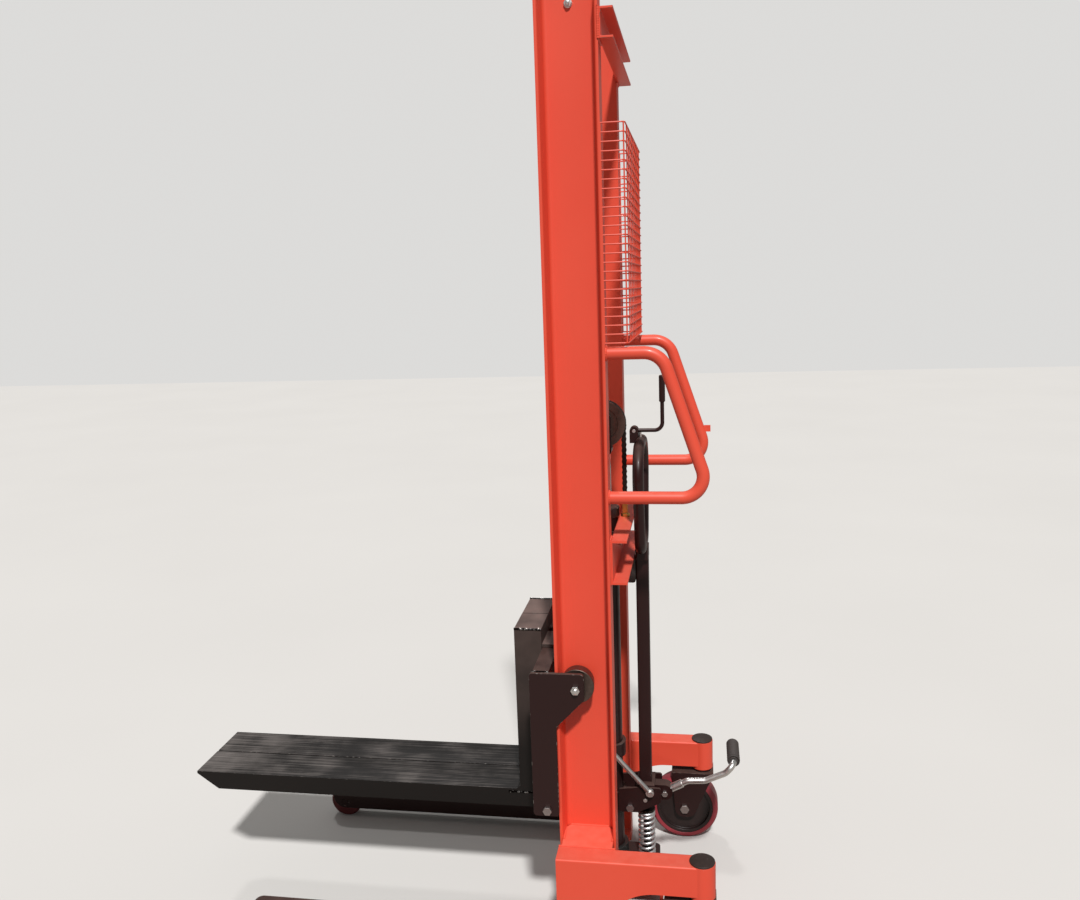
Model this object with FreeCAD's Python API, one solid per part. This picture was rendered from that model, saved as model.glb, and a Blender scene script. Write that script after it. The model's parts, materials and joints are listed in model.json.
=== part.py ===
import FreeCAD, Part
import os
from math import atan2, cos, hypot, pi, sin, sqrt, tan

# Hand pallet stacker: a two-channel mast on a straddle base, a fork carriage that hangs on a chain,
# a lift ram with a hand and foot pump, and swivelling rear wheels. Millimetres, +Z up.
# Forks point to -X, the operator stands at +X, and left is -Y.
# Pieces are laid out from the rear swivel axis (x = 0) and moved together when they are written,
# so that the origin lies on the floor under the middle of the overall length.

# Fits that serve the whole part
FIT = 0.05
SLIDE_GAP = 0.5
REST_GAP = 0.3
OVERRUN = 20.0

# Rear casters
WHEEL_D = 180.0
WHEEL_W = 50.0
TREAD_T = 14.0
TREAD_ROUND = 5.0
HUB_FACE_DIP = 9.0
HUB_RIM_T = 9.0
HUB_BOSS_D = 52.0
BEAM_SIDE_GAP = 22.0
CASTER_TRAIL = 48.0
CASTER_AXLE_D = 20.0
CASTER_PLATE_T = 6.0
CASTER_SIDE_GAP = 2.5
CASTER_CROWN_T = 8.0
CASTER_CROWN_GAP = 7.0
CASTER_CROWN_REAR = 30.0
CASTER_PLATE_FRONT = 34.0
CASTER_NOSE_R = 24.0
CASTER_NOSE_ROUND = 22.0
STEM_D = 28.0
STEM_SINK = 2.0
BEARING_D = 50.0
BOLT_HEAD_D = 22.0
BOLT_HEAD_T = 6.0

# Base beams: rear arm, foot and wheel arch, with the swivel housing at the rear end
ARM_W = 53.0
ARM_TOP = 280.0
ARM_H = 68.0
ARM_ROUND = 4.0
BEAM_WALL = 6.0
ARCH_R = 118.0
ARCH_X = -100.0
HOUSING_D = 57.0
HOUSING_DROP = 9.0
CAP_D = 55.0
CAP_T = 4.0
CAP_DOME = 4.0

# Mast channels
MAST_TOP = 2080.0
MAST_DEPTH = 126.0
MAST_REAR = -190.0
FLANGE_W = 53.0
FLANGE_EDGE_Y = 236.0
WEB_T = 5.5
FLANGE_TIP_T = 6.7
FLANGE_ROOT_T = 11.3
FLANGE_TIP_R = 4.0
FLANGE_ROOT_R = 9.0
STOP_BOLT_DROP = 17.0
STOP_BOLT_D = 8.0
STOP_HEAD_D = 14.0
STOP_HEAD_T = 6.0

# Straddle legs and load wheels
LEG_BOTTOM = 28.0
LEG_TOP = 100.0
LEG_WALL = 6.0
LEG_TIP_R = 34.0
LEG_REACH = 714.0
LOAD_WHEEL_D = 90.0
LOAD_WHEEL_GAP = 1.5
LOAD_EDGE = 4.0
LOAD_AXLE_D = 20.0
LEG_TIP_REACH = 35.0

# Foot plates between mast and base beam
FOOT_PLATE_T = 8.0
FOOT_PLATE_RISE = 12.0
FOOT_PLATE_CLEAR = 9.5

# Cross members
TOP_BEAM_H = 59.0
TOP_BEAM_DROP = 39.0
TOP_BEAM_DEPTH = 30.0
MID_BEAM_LOW = 877.0
MID_BEAM_H = 97.0
MID_BEAM_DEPTH = 36.0
BEAM_T = 5.0
MID_BEAM_INSET = 14.0
BASE_PLATE_TOP = 60.0
BASE_PLATE_T = 8.0
BASE_PLATE_BEYOND = 41.0
BASE_PLATE_SETBACK = 16.0
BASE_TONGUE_HALF = 70.0
BASE_LIP_H = 28.0

# Handrails
RAIL_D = 27.0
RAIL_BORE_D = 22.0
RAIL_INSET = 16.0
RAIL_H = 304.0
RAIL_LOW_Z = 1068.0
RAIL_SHOULDER_REACH = 113.0
RAIL_ELBOW_REACH = 214.0
RAIL_SHOULDER_R = 50.0
RAIL_ELBOW_R = 45.0
RAIL_TAB_L = 16.0
RAIL_TAB_T = 5.0
RAIL_TAB_RISE = 80.0

# Mesh guard
GUARD_GAP = 6.5
GUARD_DROP = 253.0
GUARD_DEPTH = 50.0
GUARD_WIRE = 3.5
GUARD_ROWS = 24
GUARD_COLUMNS = 10

# Lift ram
RAM_INSET = 34.0
BARREL_D = 65.0
BARREL_BORE_D = 50.0
BARREL_RISE = 2.0
BARREL_FLOOR_T = 12.0
GLAND_D = 72.0
GLAND_HEAD_H = 24.0
GLAND_SKIRT = 20.0
GLAND_CHAMFER = 3.0
ROD_D = 36.0
PISTON_H = 30.0
PISTON_FLOOR_GAP = 4.0
PISTON_GROOVE = 3.0
STRAP_T = 4.0
STRAP_W = 40.0
STRAP_EAR = 24.0
STRAP_BOLT_D = 8.0
RING_GAP = 0.2

# Travel of the ram from the photographed height
RAM_DOWN = 120.0

# Chain and pulley
PULLEY_RISE = 219.0
CHAIN_PITCH_R = 50.0
CHAIN_H = 12.0
CHAIN_W = 16.0
CHAIN_LINK_GAP = 3.0
CHAIN_WAIST = 1.2
CHAIN_LAYERS = 5
PULLEY_GAP = 0.4
PULLEY_RIM = 6.0
PULLEY_FLANGE_T = 3.0
PULLEY_AXLE_D = 18.0
PULLEY_SIDE_GAP = 1.5
YOKE_T = 6.0
YOKE_HALF_L = 22.0
YOKE_DROP = 70.0
YOKE_RISE = 22.0
YOKE_BASE_T = 12.0
ANCHOR_BOLT_D = 10.0
ANCHOR_EYE_H = 26.0
ANCHOR_EYE_GAP = 10.0
ANCHOR_NUT_D = 18.0
ANCHOR_NUT_T = 8.0
ANCHOR_TAIL = 22.0

# Pump block and pump
PUMP_REACH = 88.0
PUMP_BLOCK_H = 52.0
PUMP_BLOCK_HALF_W = 46.0
PUMP_BLOCK_AHEAD = 44.0
PUMP_BLOCK_BEYOND = 31.0
PUMP_BLOCK_ROUND = 12.0
BARREL_SOCKET_T = 10.0
BARREL_SOCKET_RISE = 30.0
PISTON_D = 16.0
PISTON_REST_DEPTH = 7.0
PISTON_STROKE_DEPTH = 44.0
PUMP_GUIDE_T = 4.0
PUMP_GUIDE_H = 20.0
SPRING_D = 43.0
SPRING_WIRE = 7.0
SPRING_TURNS = 7
SPRING_DEAD_GAP = 0.6
SPRING_CHECK_POINTS = 13
STUD_H = 26.7
CAP_PLATE_T = 6.0
STUD_D = 14.0

# Pump lever
PIVOT_REACH = 51.0
PIVOT_RISE = 143.0
PIVOT_D = 14.0
PIVOT_HEAD_D = 17.0
PIVOT_HEAD_T = 6.0
PRESS_RISE = 20.0
PRESS_R = 12.0
PRESS_PIN_D = 10.0
CHEEK_T = 6.0
CHEEK_INNER_Y = 34.0
EAR_T = 9.0
EAR_GAP = 0.6
EAR_ROUND = 14.0
COLLAR_T = 6.0
COLLAR_DROP = 24.0
COLLAR_H = 57.0
YOKE_BLOCK_RISE = 33.0
YOKE_BLOCK_H = 24.0
YOKE_BLOCK_WALL = 7.0
CHEEK_FRONT_REACH = 28.0
CHEEK_DROP = 12.0
CHEEK_RISE = 47.0
CHEEK_NOSE_REACH = 75.0
CHEEK_NOSE_RISE = 17.0
CHEEK_NOSE_H = 36.0
CHEEK_TOE_REACH = 61.0
CHEEK_TOE_RISE = 9.0
CHEEK_HEEL_REACH = 18.0
CHEEK_ROUND = 6.0
LUG_W = 30.0
LUG_RISE = 11.0
LUG_H = 38.0

# Tiller
TILLER_W = 30.0
TILLER_WALL = 3.0
TILLER_ROUND = 4.0
TILLER_RISE = 37.0
LOOP_RISE = 613.0
LOOP_H = 245.0
LOOP_FOOT_HALF = 62.0
LOOP_TOP_HALF = 125.0
LOOP_FOOT_R = 40.0
LOOP_TOP_R = 70.0
LOOP_D = 25.0
HUB_DROP = 30.0
HUB_W = 52.0
HUB_DEPTH = 30.0
HUB_ROUND = 5.0
HUB_PLUG_H = 25.0

# Release lever and its push rod
RELEASE_D = 9.0
RELEASE_PIN_D = 8.0
RELEASE_REACH = 51.0
RELEASE_H = 127.0
RELEASE_BEND_R = 18.0
RELEASE_GRIP_D = 14.0
RELEASE_GRIP_L = 62.0
RELEASE_GRIP_ROUND = 3.0
RELEASE_BOSS_D = 20.0
RELEASE_BOSS_W = 14.0
RELEASE_EAR_T = 5.0
RELEASE_PIN_RISE = 28.0
RELEASE_OFFSET = 14.0
PUSH_ROD_D = 6.0
PUSH_ROD_RISE = 10.0

# Stop rod and its clamp on the ram
STOP_ROD_D = 12.0
STOP_ROD_Y = -47.0
STOP_ROD_FOOT_REACH = 49.0
STOP_ROD_FOOT_RISE = 45.0
STOP_ROD_TOP_REACH = 16.0
STOP_ROD_TOP_RISE = 140.0
STOP_EYE_T = 7.0
STOP_EYE_D = 20.0
STOP_CLAMP_H = 34.0
STOP_CLAMP_T = 8.0
STOP_LUG_L = 22.0

# Foot pedal
PEDAL_D = 15.0
PEDAL_SLEEVE_D = 20.0
PEDAL_FOOT_REACH = 83.0
PEDAL_FOOT_RISE = 27.0
PEDAL_KNEE_REACH = 138.0
PEDAL_KNEE_RISE = 56.0
PEDAL_MID_REACH = 181.0
PEDAL_MID_RISE = 59.0
PEDAL_SLOPE_REACH = 229.0
PEDAL_SLOPE_RISE = 81.0
PEDAL_END_REACH = 249.0
PEDAL_END_RISE = 103.0
PEDAL_BEND_R = 26.0
PEDAL_END_R = 18.0
PEDAL_END_Y = 108.0
GRIP_D = 31.0
GRIP_GROOVE = 2.5
GRIP_RIBS = 8
GRIP_START_Y = 20.0
GRIP_OVERHANG = 4.0
CLAMP_BOLT_D = 8.0
CLAMP_HEAD_D = 13.0
CLAMP_HEAD_T = 5.0

# Tiller rest under the middle beam
REST_W = 36.0
REST_H = 60.0
REST_DEPTH = 20.0
REST_ROUND = 6.0

# Carriage
PLATE_T = 10.0
PLATE_SIDE_GAP = 4.0
PLATE_AHEAD = 56.0
PLATE_H = 337.0
PLATE_RISE = 17.0
PLATE_EAR_REACH = 65.0
PLATE_EAR_DROP = 59.0
PLATE_WAIST_REACH = 2.0
PLATE_WAIST_DROP = 124.0
PLATE_ROUND = 8.0
BAR_DEPTH = 36.0
BAR_H = 40.0
LOW_BAR_RISE = 53.0
UPPER_ROLLER_D = 78.0
UPPER_ROLLER_W = 36.0
UPPER_ROLLER_DROP = 35.0
UPPER_AXLE_D = 24.0
LOWER_ROLLER_D = 47.2
LOWER_ROLLER_W = 32.0
LOWER_ROLLER_RISE = 15.0
LOWER_AXLE_D = 16.0
ROLLER_GAP = 0.4
ROLLER_EDGE = 4.0
AXLE_BOLT_D = 12.0
AXLE_NUT_D = 18.0
AXLE_NUT_T = 8.0
BRACKET_T = 12.0
BRACKET_H = 32.0
BRACKET_EYE = 16.0

# Forks
FORK_W = 107.0
FORK_SEAM = 4.0
FORK_TOP = 328.0
FORK_H = 45.0
FORK_L = 837.0
FORK_TIP_T = 6.0
FORK_BEVEL_L = 55.0
FORK_WALL = 8.0
UPRIGHT_T = 64.0
UPRIGHT_GAP = 50.0
UPRIGHT_RISE = 48.0
COLLAR_WALL = 8.0
COLLAR_INSET = 10.0
HEEL_FILLET = 8.0

# Places that follow from the sizes above: base and mast
WHEEL_R = WHEEL_D / 2
ARM_BOTTOM = ARM_TOP - ARM_H
HOUSING_BOTTOM = ARM_BOTTOM - HOUSING_DROP
CROWN_LOW = WHEEL_D + CASTER_CROWN_GAP
CROWN_TOP = CROWN_LOW + CASTER_CROWN_T
BEAM_INNER_Y = FLANGE_EDGE_Y + BEAM_SIDE_GAP
CASTER_Y = BEAM_INNER_Y + ARM_W / 2
MAST_FRONT = MAST_REAR - MAST_DEPTH
WEB_INNER_Y = FLANGE_EDGE_Y - FLANGE_W
WEB_OUTER_Y = WEB_INNER_Y + WEB_T
FLANGE_TAPER = (FLANGE_ROOT_T - FLANGE_TIP_T) / (FLANGE_W - WEB_T)
FOOT_REAR = ARCH_X - ARCH_R
ARCH_Z = ARM_BOTTOM - ARCH_R
STOP_BOLT_X = MAST_REAR - MAST_DEPTH / 2
STOP_BOLT_Z = MAST_TOP - STOP_BOLT_DROP
TOP_BEAM_HIGH = MAST_TOP - TOP_BEAM_DROP
TOP_BEAM_LOW = TOP_BEAM_HIGH - TOP_BEAM_H
MID_BEAM_HIGH = MID_BEAM_LOW + MID_BEAM_H
RAIL_Y = FLANGE_EDGE_Y - RAIL_INSET
RAIL_TOP_Z = RAIL_LOW_Z + RAIL_H
RAIL_TAB_Z = RAIL_LOW_Z + RAIL_TAB_RISE
RAIL_SHOULDER_X = MAST_REAR + RAIL_SHOULDER_REACH
RAIL_ELBOW_X = MAST_REAR + RAIL_ELBOW_REACH
GUARD_HIGH = MAST_TOP - GUARD_DROP
GUARD_LOW = RAIL_TOP_Z + RAIL_D / 2 + GUARD_GAP
LOAD_WHEEL_X = MAST_FRONT - LEG_REACH

# Places of the ram, chain and pump
RAM_X = MAST_REAR - RAM_INSET
PUMP_X = RAM_X + PUMP_REACH
BASE_PLATE_REAR = PUMP_X + BASE_PLATE_BEYOND
BARREL_R = BARREL_D / 2
BARREL_TOP = MID_BEAM_HIGH + BARREL_RISE
PULLEY_Z = BARREL_TOP + PULLEY_RISE
PUMP_BLOCK_FRONT = RAM_X - PUMP_BLOCK_AHEAD
PUMP_BLOCK_REAR = PUMP_X + PUMP_BLOCK_BEYOND
PUMP_BLOCK_TOP = BASE_PLATE_TOP + PUMP_BLOCK_H
BARREL_LOW = BASE_PLATE_TOP + BARREL_FLOOR_T
ROD_TOP = PULLEY_Z - YOKE_DROP
PISTON_LOW = BARREL_LOW + BARREL_FLOOR_T + PISTON_FLOOR_GAP + RAM_DOWN
CHAIN_FRONT_X = RAM_X - CHAIN_PITCH_R
CHAIN_REAR_X = RAM_X + CHAIN_PITCH_R
ANCHOR_TOP = MID_BEAM_HIGH + ANCHOR_EYE_GAP + ANCHOR_EYE_H
PULLEY_HALF_W = CHAIN_W / 2 + PULLEY_SIDE_GAP
YOKE_INNER_Y = PULLEY_HALF_W + PULLEY_FLANGE_T + PULLEY_SIDE_GAP
PIVOT_X = RAM_X + PIVOT_REACH
PIVOT_Z = PUMP_BLOCK_TOP + PIVOT_RISE
PRESS_Z = PIVOT_Z + PRESS_RISE
STUD_TOP = PRESS_Z - PRESS_R - REST_GAP
SPRING_LOW = PUMP_BLOCK_TOP
SPRING_TOP = STUD_TOP - STUD_H - CAP_PLATE_T
SPRING_H = SPRING_TOP - SPRING_LOW

# Places of the lever, the tiller and the pedal
COLLAR_LOW = PIVOT_Z - COLLAR_DROP
COLLAR_HIGH = COLLAR_LOW + COLLAR_H
YOKE_BLOCK_LOW = PIVOT_Z + YOKE_BLOCK_RISE
YOKE_BLOCK_HIGH = YOKE_BLOCK_LOW + YOKE_BLOCK_H
CHEEK_FRONT_X = PIVOT_X - CHEEK_FRONT_REACH
CHEEK_LOW_Z = PIVOT_Z - CHEEK_DROP
CHEEK_TOP_Z = PIVOT_Z + CHEEK_RISE
CHEEK_NOSE_X = PIVOT_X + CHEEK_NOSE_REACH
CHEEK_NOSE_Z = PIVOT_Z + CHEEK_NOSE_RISE
CHEEK_NOSE_TOP_Z = CHEEK_NOSE_Z + CHEEK_NOSE_H
CHEEK_TOE_X = PIVOT_X + CHEEK_TOE_REACH
CHEEK_TOE_Z = PIVOT_Z + CHEEK_TOE_RISE
CHEEK_HEEL_X = PIVOT_X + CHEEK_HEEL_REACH
LUG_LOW = PIVOT_Z + LUG_RISE
LUG_HIGH = LUG_LOW + LUG_H
TILLER_FOOT = PIVOT_Z + TILLER_RISE
LOOP_X = PUMP_X
LOOP_FOOT = TILLER_FOOT + LOOP_RISE
LOOP_TOP = LOOP_FOOT + LOOP_H
HUB_LOW = LOOP_FOOT - HUB_DROP
RELEASE_PIN_Z = LOOP_TOP + RELEASE_PIN_RISE
RELEASE_PIN_X = LOOP_X - RELEASE_OFFSET
RELEASE_X = LOOP_X + RELEASE_REACH
RELEASE_TOP = RELEASE_PIN_Z + RELEASE_H
PUSH_ROD_FOOT = TILLER_FOOT + PUSH_ROD_RISE
STOP_ROD_FOOT_X = PIVOT_X + STOP_ROD_FOOT_REACH
STOP_ROD_FOOT_Z = PIVOT_Z + STOP_ROD_FOOT_RISE
STOP_ROD_TOP_X = RAM_X + STOP_ROD_TOP_REACH
STOP_ROD_TOP_Z = PIVOT_Z + STOP_ROD_TOP_RISE
PEDAL_FOOT_X = PIVOT_X + PEDAL_FOOT_REACH
PEDAL_FOOT_Z = PIVOT_Z + PEDAL_FOOT_RISE
PEDAL_KNEE_X = PIVOT_X + PEDAL_KNEE_REACH
PEDAL_KNEE_Z = PIVOT_Z + PEDAL_KNEE_RISE
PEDAL_MID_X = PIVOT_X + PEDAL_MID_REACH
PEDAL_MID_Z = PIVOT_Z + PEDAL_MID_RISE
PEDAL_RISE_X = PIVOT_X + PEDAL_SLOPE_REACH
PEDAL_RISE_Z = PIVOT_Z + PEDAL_SLOPE_RISE
PEDAL_END_X = PIVOT_X + PEDAL_END_REACH
PEDAL_END_Z = PIVOT_Z + PEDAL_END_RISE

# Places of the carriage and the forks
PLATE_INNER_Y = FLANGE_EDGE_Y + PLATE_SIDE_GAP
PLATE_OUTER_Y = PLATE_INNER_Y + PLATE_T
PLATE_BOTTOM = FORK_TOP + PLATE_RISE
PLATE_TOP = PLATE_BOTTOM + PLATE_H
PLATE_FRONT = MAST_FRONT - PLATE_AHEAD
PLATE_EAR_X = MAST_FRONT + PLATE_EAR_REACH
PLATE_EAR_Z = PLATE_TOP - PLATE_EAR_DROP
PLATE_WAIST_X = MAST_FRONT + PLATE_WAIST_REACH
PLATE_WAIST_Z = PLATE_TOP - PLATE_WAIST_DROP
UPRIGHT_REAR = MAST_FRONT - UPRIGHT_GAP
UPRIGHT_FRONT = UPRIGHT_REAR - UPRIGHT_T
UPRIGHT_TOP = PLATE_TOP + UPRIGHT_RISE
BAR_FRONT = UPRIGHT_REAR + SLIDE_GAP
BAR_REAR = BAR_FRONT + BAR_DEPTH
HIGH_BAR_Z = PLATE_TOP - BAR_H
LOW_BAR_Z = PLATE_BOTTOM + LOW_BAR_RISE
BRACKET_Z = LOW_BAR_Z + (BAR_H - BRACKET_H) / 2
CHAIN_LOW = BRACKET_Z + BRACKET_H + BRACKET_EYE
CHAIN_RISE = PULLEY_Z - CHAIN_LOW
CHAIN_L = CHAIN_RISE + pi * CHAIN_PITCH_R + PULLEY_Z - ANCHOR_TOP
UPPER_ROLLER_Z = PLATE_TOP - UPPER_ROLLER_DROP
UPPER_ROLLER_OUT_Y = FLANGE_EDGE_Y - ROLLER_EDGE
UPPER_ROLLER_IN_Y = UPPER_ROLLER_OUT_Y - UPPER_ROLLER_W
UPPER_ROLLER_X = (MAST_FRONT + FLANGE_TIP_T + FLANGE_TAPER * ROLLER_EDGE + ROLLER_GAP
                  + UPPER_ROLLER_D / 2)
LOWER_ROLLER_Z = PLATE_BOTTOM + LOWER_ROLLER_RISE
LOWER_ROLLER_X = MAST_FRONT - ROLLER_GAP - LOWER_ROLLER_D / 2
FORK_INNER_Y = FORK_SEAM / 2
FORK_OUTER_Y = FORK_INNER_Y + FORK_W
FORK_BOTTOM = FORK_TOP - FORK_H
FORK_TIP = UPRIGHT_FRONT - FORK_L
ORIGIN_X = (FORK_TIP + PEDAL_END_X + GRIP_D / 2) / 2
SIDES = (("left", -1), ("right", 1))

Vec = FreeCAD.Vector
X_DIR, Y_DIR, Z_DIR = Vec(1, 0, 0), Vec(0, 1, 0), Vec(0, 0, 1)


def block(x, y, z):
    """A box from three (low, high) pairs, in either order."""
    lows = [min(pair) for pair in (x, y, z)]
    highs = [max(pair) for pair in (x, y, z)]
    return Part.makeBox(*[high - low for low, high in zip(lows, highs)], Vec(*lows))


def bar(start, end, diameter):
    """A round bar between two points."""
    line = end - start
    return Part.makeCylinder(diameter / 2, line.Length, start, line)


def hexagon(start, direction, across, height):
    """A hexagonal head or nut that stands on a point."""
    corner_r = across / sqrt(3)
    turn = FreeCAD.Rotation(Z_DIR, direction)
    ring = [Vec(corner_r * cos(k * pi / 3), corner_r * sin(k * pi / 3), 0) for k in range(7)]
    wire = Part.makePolygon([start + turn.multVec(p) for p in ring])
    return Part.Face(wire).extrude(turn.multVec(Vec(0, 0, height)))


def rounded(corners, radii, closed):
    """Straight runs through the corners, joined by tangent arcs of the given radii."""
    count = len(corners)
    ends = []
    for i, corner in enumerate(corners):
        radius = radii[i]
        if radius == 0 or (not closed and i in (0, count - 1)):
            ends.append((corner, None, corner))
            continue
        back = (corners[i - 1] - corner).normalize()
        ahead = (corners[(i + 1) % count] - corner).normalize()
        half = back.getAngle(ahead) / 2
        inward = (back + ahead).normalize()
        middle = corner + inward * (radius / sin(half) - radius)
        reach = radius / tan(half)
        ends.append((corner + back * reach, middle, corner + ahead * reach))
    edges = []
    for i, (first, middle, last) in enumerate(ends):
        if middle is not None:
            edges.append(Part.Arc(first, middle, last).toShape())
        following = ends[(i + 1) % count][0]
        if (closed or i < count - 1) and (following - last).Length > FIT:
            edges.append(Part.LineSegment(last, following).toShape())
    return Part.Wire(Part.__sortEdges__(edges))


def plate(corners, radii, thickness):
    """A flat plate: a rounded outline pushed along a thickness vector."""
    return Part.Face(rounded(corners, radii, True)).extrude(thickness)


def side_plate(points, radius, y_low, y_high):
    """A plate whose (x, z) outline is given, between two y planes."""
    corners = [Vec(x, y_low, z) for x, z in points]
    return plate(corners, [radius] * len(corners), Vec(0, y_high - y_low, 0))


def tube(path, start, direction, diameter):
    """A round section swept along a path of lines and arcs."""
    ring = Part.Wire(Part.makeCircle(diameter / 2, start, direction))
    return path.makePipeShell([ring], True, False)


def turned(profile, axis_point, axis):
    """A solid of revolution from a closed list of (radius, height) pairs along an axis."""
    turn = FreeCAD.Rotation(Z_DIR, axis)
    points = [axis_point + turn.multVec(Vec(r, 0, h)) for r, h in profile]
    face = Part.Face(Part.makePolygon(points + points[:1]))
    return face.revolve(axis_point, axis, 360)


def join(*shapes):
    """One solid from shapes that meet."""
    return shapes[0].fuse(list(shapes[1:])).removeSplitter()


def group(*shapes):
    """Separate solids kept in one node."""
    return Part.makeCompound(list(shapes))


def span(sign, low, high):
    """A (low, high) pair of y values on one side of the middle plane."""
    return sign * low, sign * high


def beam_outline(inset, rear_x, bottom):
    """The (x, z) wire of arm, foot and wheel arch, drawn in by a wall thickness."""
    top = ARM_TOP - inset
    under_arm = ARM_BOTTOM + inset
    front = MAST_FRONT + inset
    foot = FOOT_REAR - inset
    arch_r = ARCH_R + inset
    knee = Vec(ARCH_X - arch_r * cos(pi / 4), 0, ARCH_Z + arch_r * sin(pi / 4))
    a, b, c, d = (Vec(rear_x, 0, top), Vec(front, 0, top), Vec(front, 0, bottom), Vec(foot, 0, bottom))
    e, f, g = Vec(foot, 0, ARCH_Z), Vec(ARCH_X, 0, under_arm), Vec(rear_x, 0, under_arm)
    edges = [Part.makeLine(a, b), Part.makeLine(b, c), Part.makeLine(c, d), Part.makeLine(d, e),
             Part.Arc(e, knee, f).toShape(), Part.makeLine(f, g), Part.makeLine(g, a)]
    return Part.Wire(edges)


def base_beam(sign):
    """Rear arm and foot as one bent-plate box, open underneath, with swivel housing and foot plates."""
    low, high = sorted(span(sign, CASTER_Y - ARM_W / 2, CASTER_Y + ARM_W / 2))
    outer = Part.Face(beam_outline(0, 0, LEG_BOTTOM)).extrude(Vec(0, high - low, 0))
    outer.translate(Vec(0, low, 0))
    long_edges = [e for e in outer.Edges
                  if abs(e.BoundBox.ZMax - ARM_TOP) < FIT and e.BoundBox.XLength > ARM_W]
    outer = outer.makeFillet(ARM_ROUND, long_edges)
    inner = Part.Face(beam_outline(BEAM_WALL, -HOUSING_D / 2, LEG_BOTTOM - OVERRUN))
    inner = inner.extrude(Vec(0, high - low - 2 * BEAM_WALL, 0))
    inner.translate(Vec(0, low + BEAM_WALL, 0))
    axis = Vec(0, sign * CASTER_Y, HOUSING_BOTTOM)
    housing = Part.makeCylinder(HOUSING_D / 2, ARM_TOP - HOUSING_BOTTOM, axis)
    bore = Part.makeCylinder(STEM_D / 2 + FIT, ARM_TOP - HOUSING_BOTTOM, axis)
    return join(outer.cut(inner), housing, *foot_plates(sign)).cut(bore)


def housing_cap(sign):
    """The black domed cap on the swivel housing."""
    seat = Vec(0, sign * CASTER_Y, ARM_TOP)
    r = CAP_D / 2
    disc = Part.makeCylinder(r, CAP_T, seat)
    dome_r = (r * r + CAP_DOME * CAP_DOME) / (2 * CAP_DOME)
    ball = Part.makeSphere(dome_r, seat + Vec(0, 0, CAP_T + CAP_DOME - dome_r))
    return join(disc, ball.common(Part.makeCylinder(r, CAP_DOME, seat + Vec(0, 0, CAP_T))))


def mast_channel(sign):
    """A hot-rolled channel with tapered flanges, web inboard and open outwards."""
    tip, root = FLANGE_TIP_T, FLANGE_ROOT_T
    points = [(MAST_FRONT, WEB_INNER_Y), (MAST_FRONT, FLANGE_EDGE_Y), (MAST_FRONT + tip, FLANGE_EDGE_Y),
              (MAST_FRONT + root, WEB_OUTER_Y), (MAST_REAR - root, WEB_OUTER_Y),
              (MAST_REAR - tip, FLANGE_EDGE_Y), (MAST_REAR, FLANGE_EDGE_Y), (MAST_REAR, WEB_INNER_Y)]
    radii = [0, 0, FLANGE_TIP_R, FLANGE_ROOT_R, FLANGE_ROOT_R, FLANGE_TIP_R, 0, 0]
    corners = [Vec(x, sign * y, LEG_BOTTOM) for x, y in points]
    channel = plate(corners, radii, Vec(0, 0, MAST_TOP - LEG_BOTTOM))
    hole = bar(Vec(STOP_BOLT_X, sign * (WEB_INNER_Y - OVERRUN), STOP_BOLT_Z),
               Vec(STOP_BOLT_X, sign * (WEB_OUTER_Y + OVERRUN), STOP_BOLT_Z), STOP_BOLT_D + 2 * FIT)
    return channel.cut(hole)


def stop_bolt(sign):
    """The bolt through the web that stops the upper roller at the top of the mast."""
    inner = Vec(STOP_BOLT_X, sign * WEB_INNER_Y, STOP_BOLT_Z)
    outer = Vec(STOP_BOLT_X, sign * WEB_OUTER_Y, STOP_BOLT_Z)
    head = hexagon(outer, Y_DIR * sign, STOP_HEAD_D, STOP_HEAD_T)
    nut = hexagon(inner, Y_DIR * -sign, STOP_HEAD_D, STOP_HEAD_T)
    return join(bar(inner, outer, STOP_BOLT_D), head, nut)


def channel_room(sign):
    """The space inside a channel and out to its base beam, clear of the rolled root rounds."""
    half = MAST_DEPTH / 2
    clear = FOOT_PLATE_CLEAR
    rows = [(half - FLANGE_ROOT_T - clear, WEB_OUTER_Y),
            (half - FLANGE_ROOT_T + FLANGE_TAPER * clear - FIT, WEB_OUTER_Y + clear),
            (half - FLANGE_TIP_T - FIT, FLANGE_EDGE_Y), (half - FLANGE_TIP_T - FIT, BEAM_INNER_Y)]
    outline = [(-x, y) for x, y in rows] + list(reversed(rows))
    corners = [Vec(STOP_BOLT_X + x, sign * y, LEG_BOTTOM) for x, y in outline]
    return plate(corners, [0] * len(corners), Vec(0, 0, ARM_TOP + FOOT_PLATE_RISE - LEG_BOTTOM))


def foot_plates(sign):
    """The sloped and the flat plate that tie the channel's foot to the base beam."""
    points = [(WEB_OUTER_Y, ARM_TOP + FOOT_PLATE_RISE), (BEAM_INNER_Y, ARM_TOP),
              (BEAM_INNER_Y, ARM_TOP - FOOT_PLATE_T),
              (WEB_OUTER_Y, ARM_TOP + FOOT_PLATE_RISE - FOOT_PLATE_T)]
    corners = [Vec(MAST_FRONT, sign * y, z) for y, z in points]
    top = plate(corners, [0] * len(corners), Vec(MAST_DEPTH, 0, 0))
    low = block((MAST_FRONT, MAST_REAR), span(sign, WEB_OUTER_Y, BEAM_INNER_Y),
                (LEG_BOTTOM, LEG_BOTTOM + FOOT_PLATE_T))
    room = channel_room(sign)
    return top.common(room), low.common(room)


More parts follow.
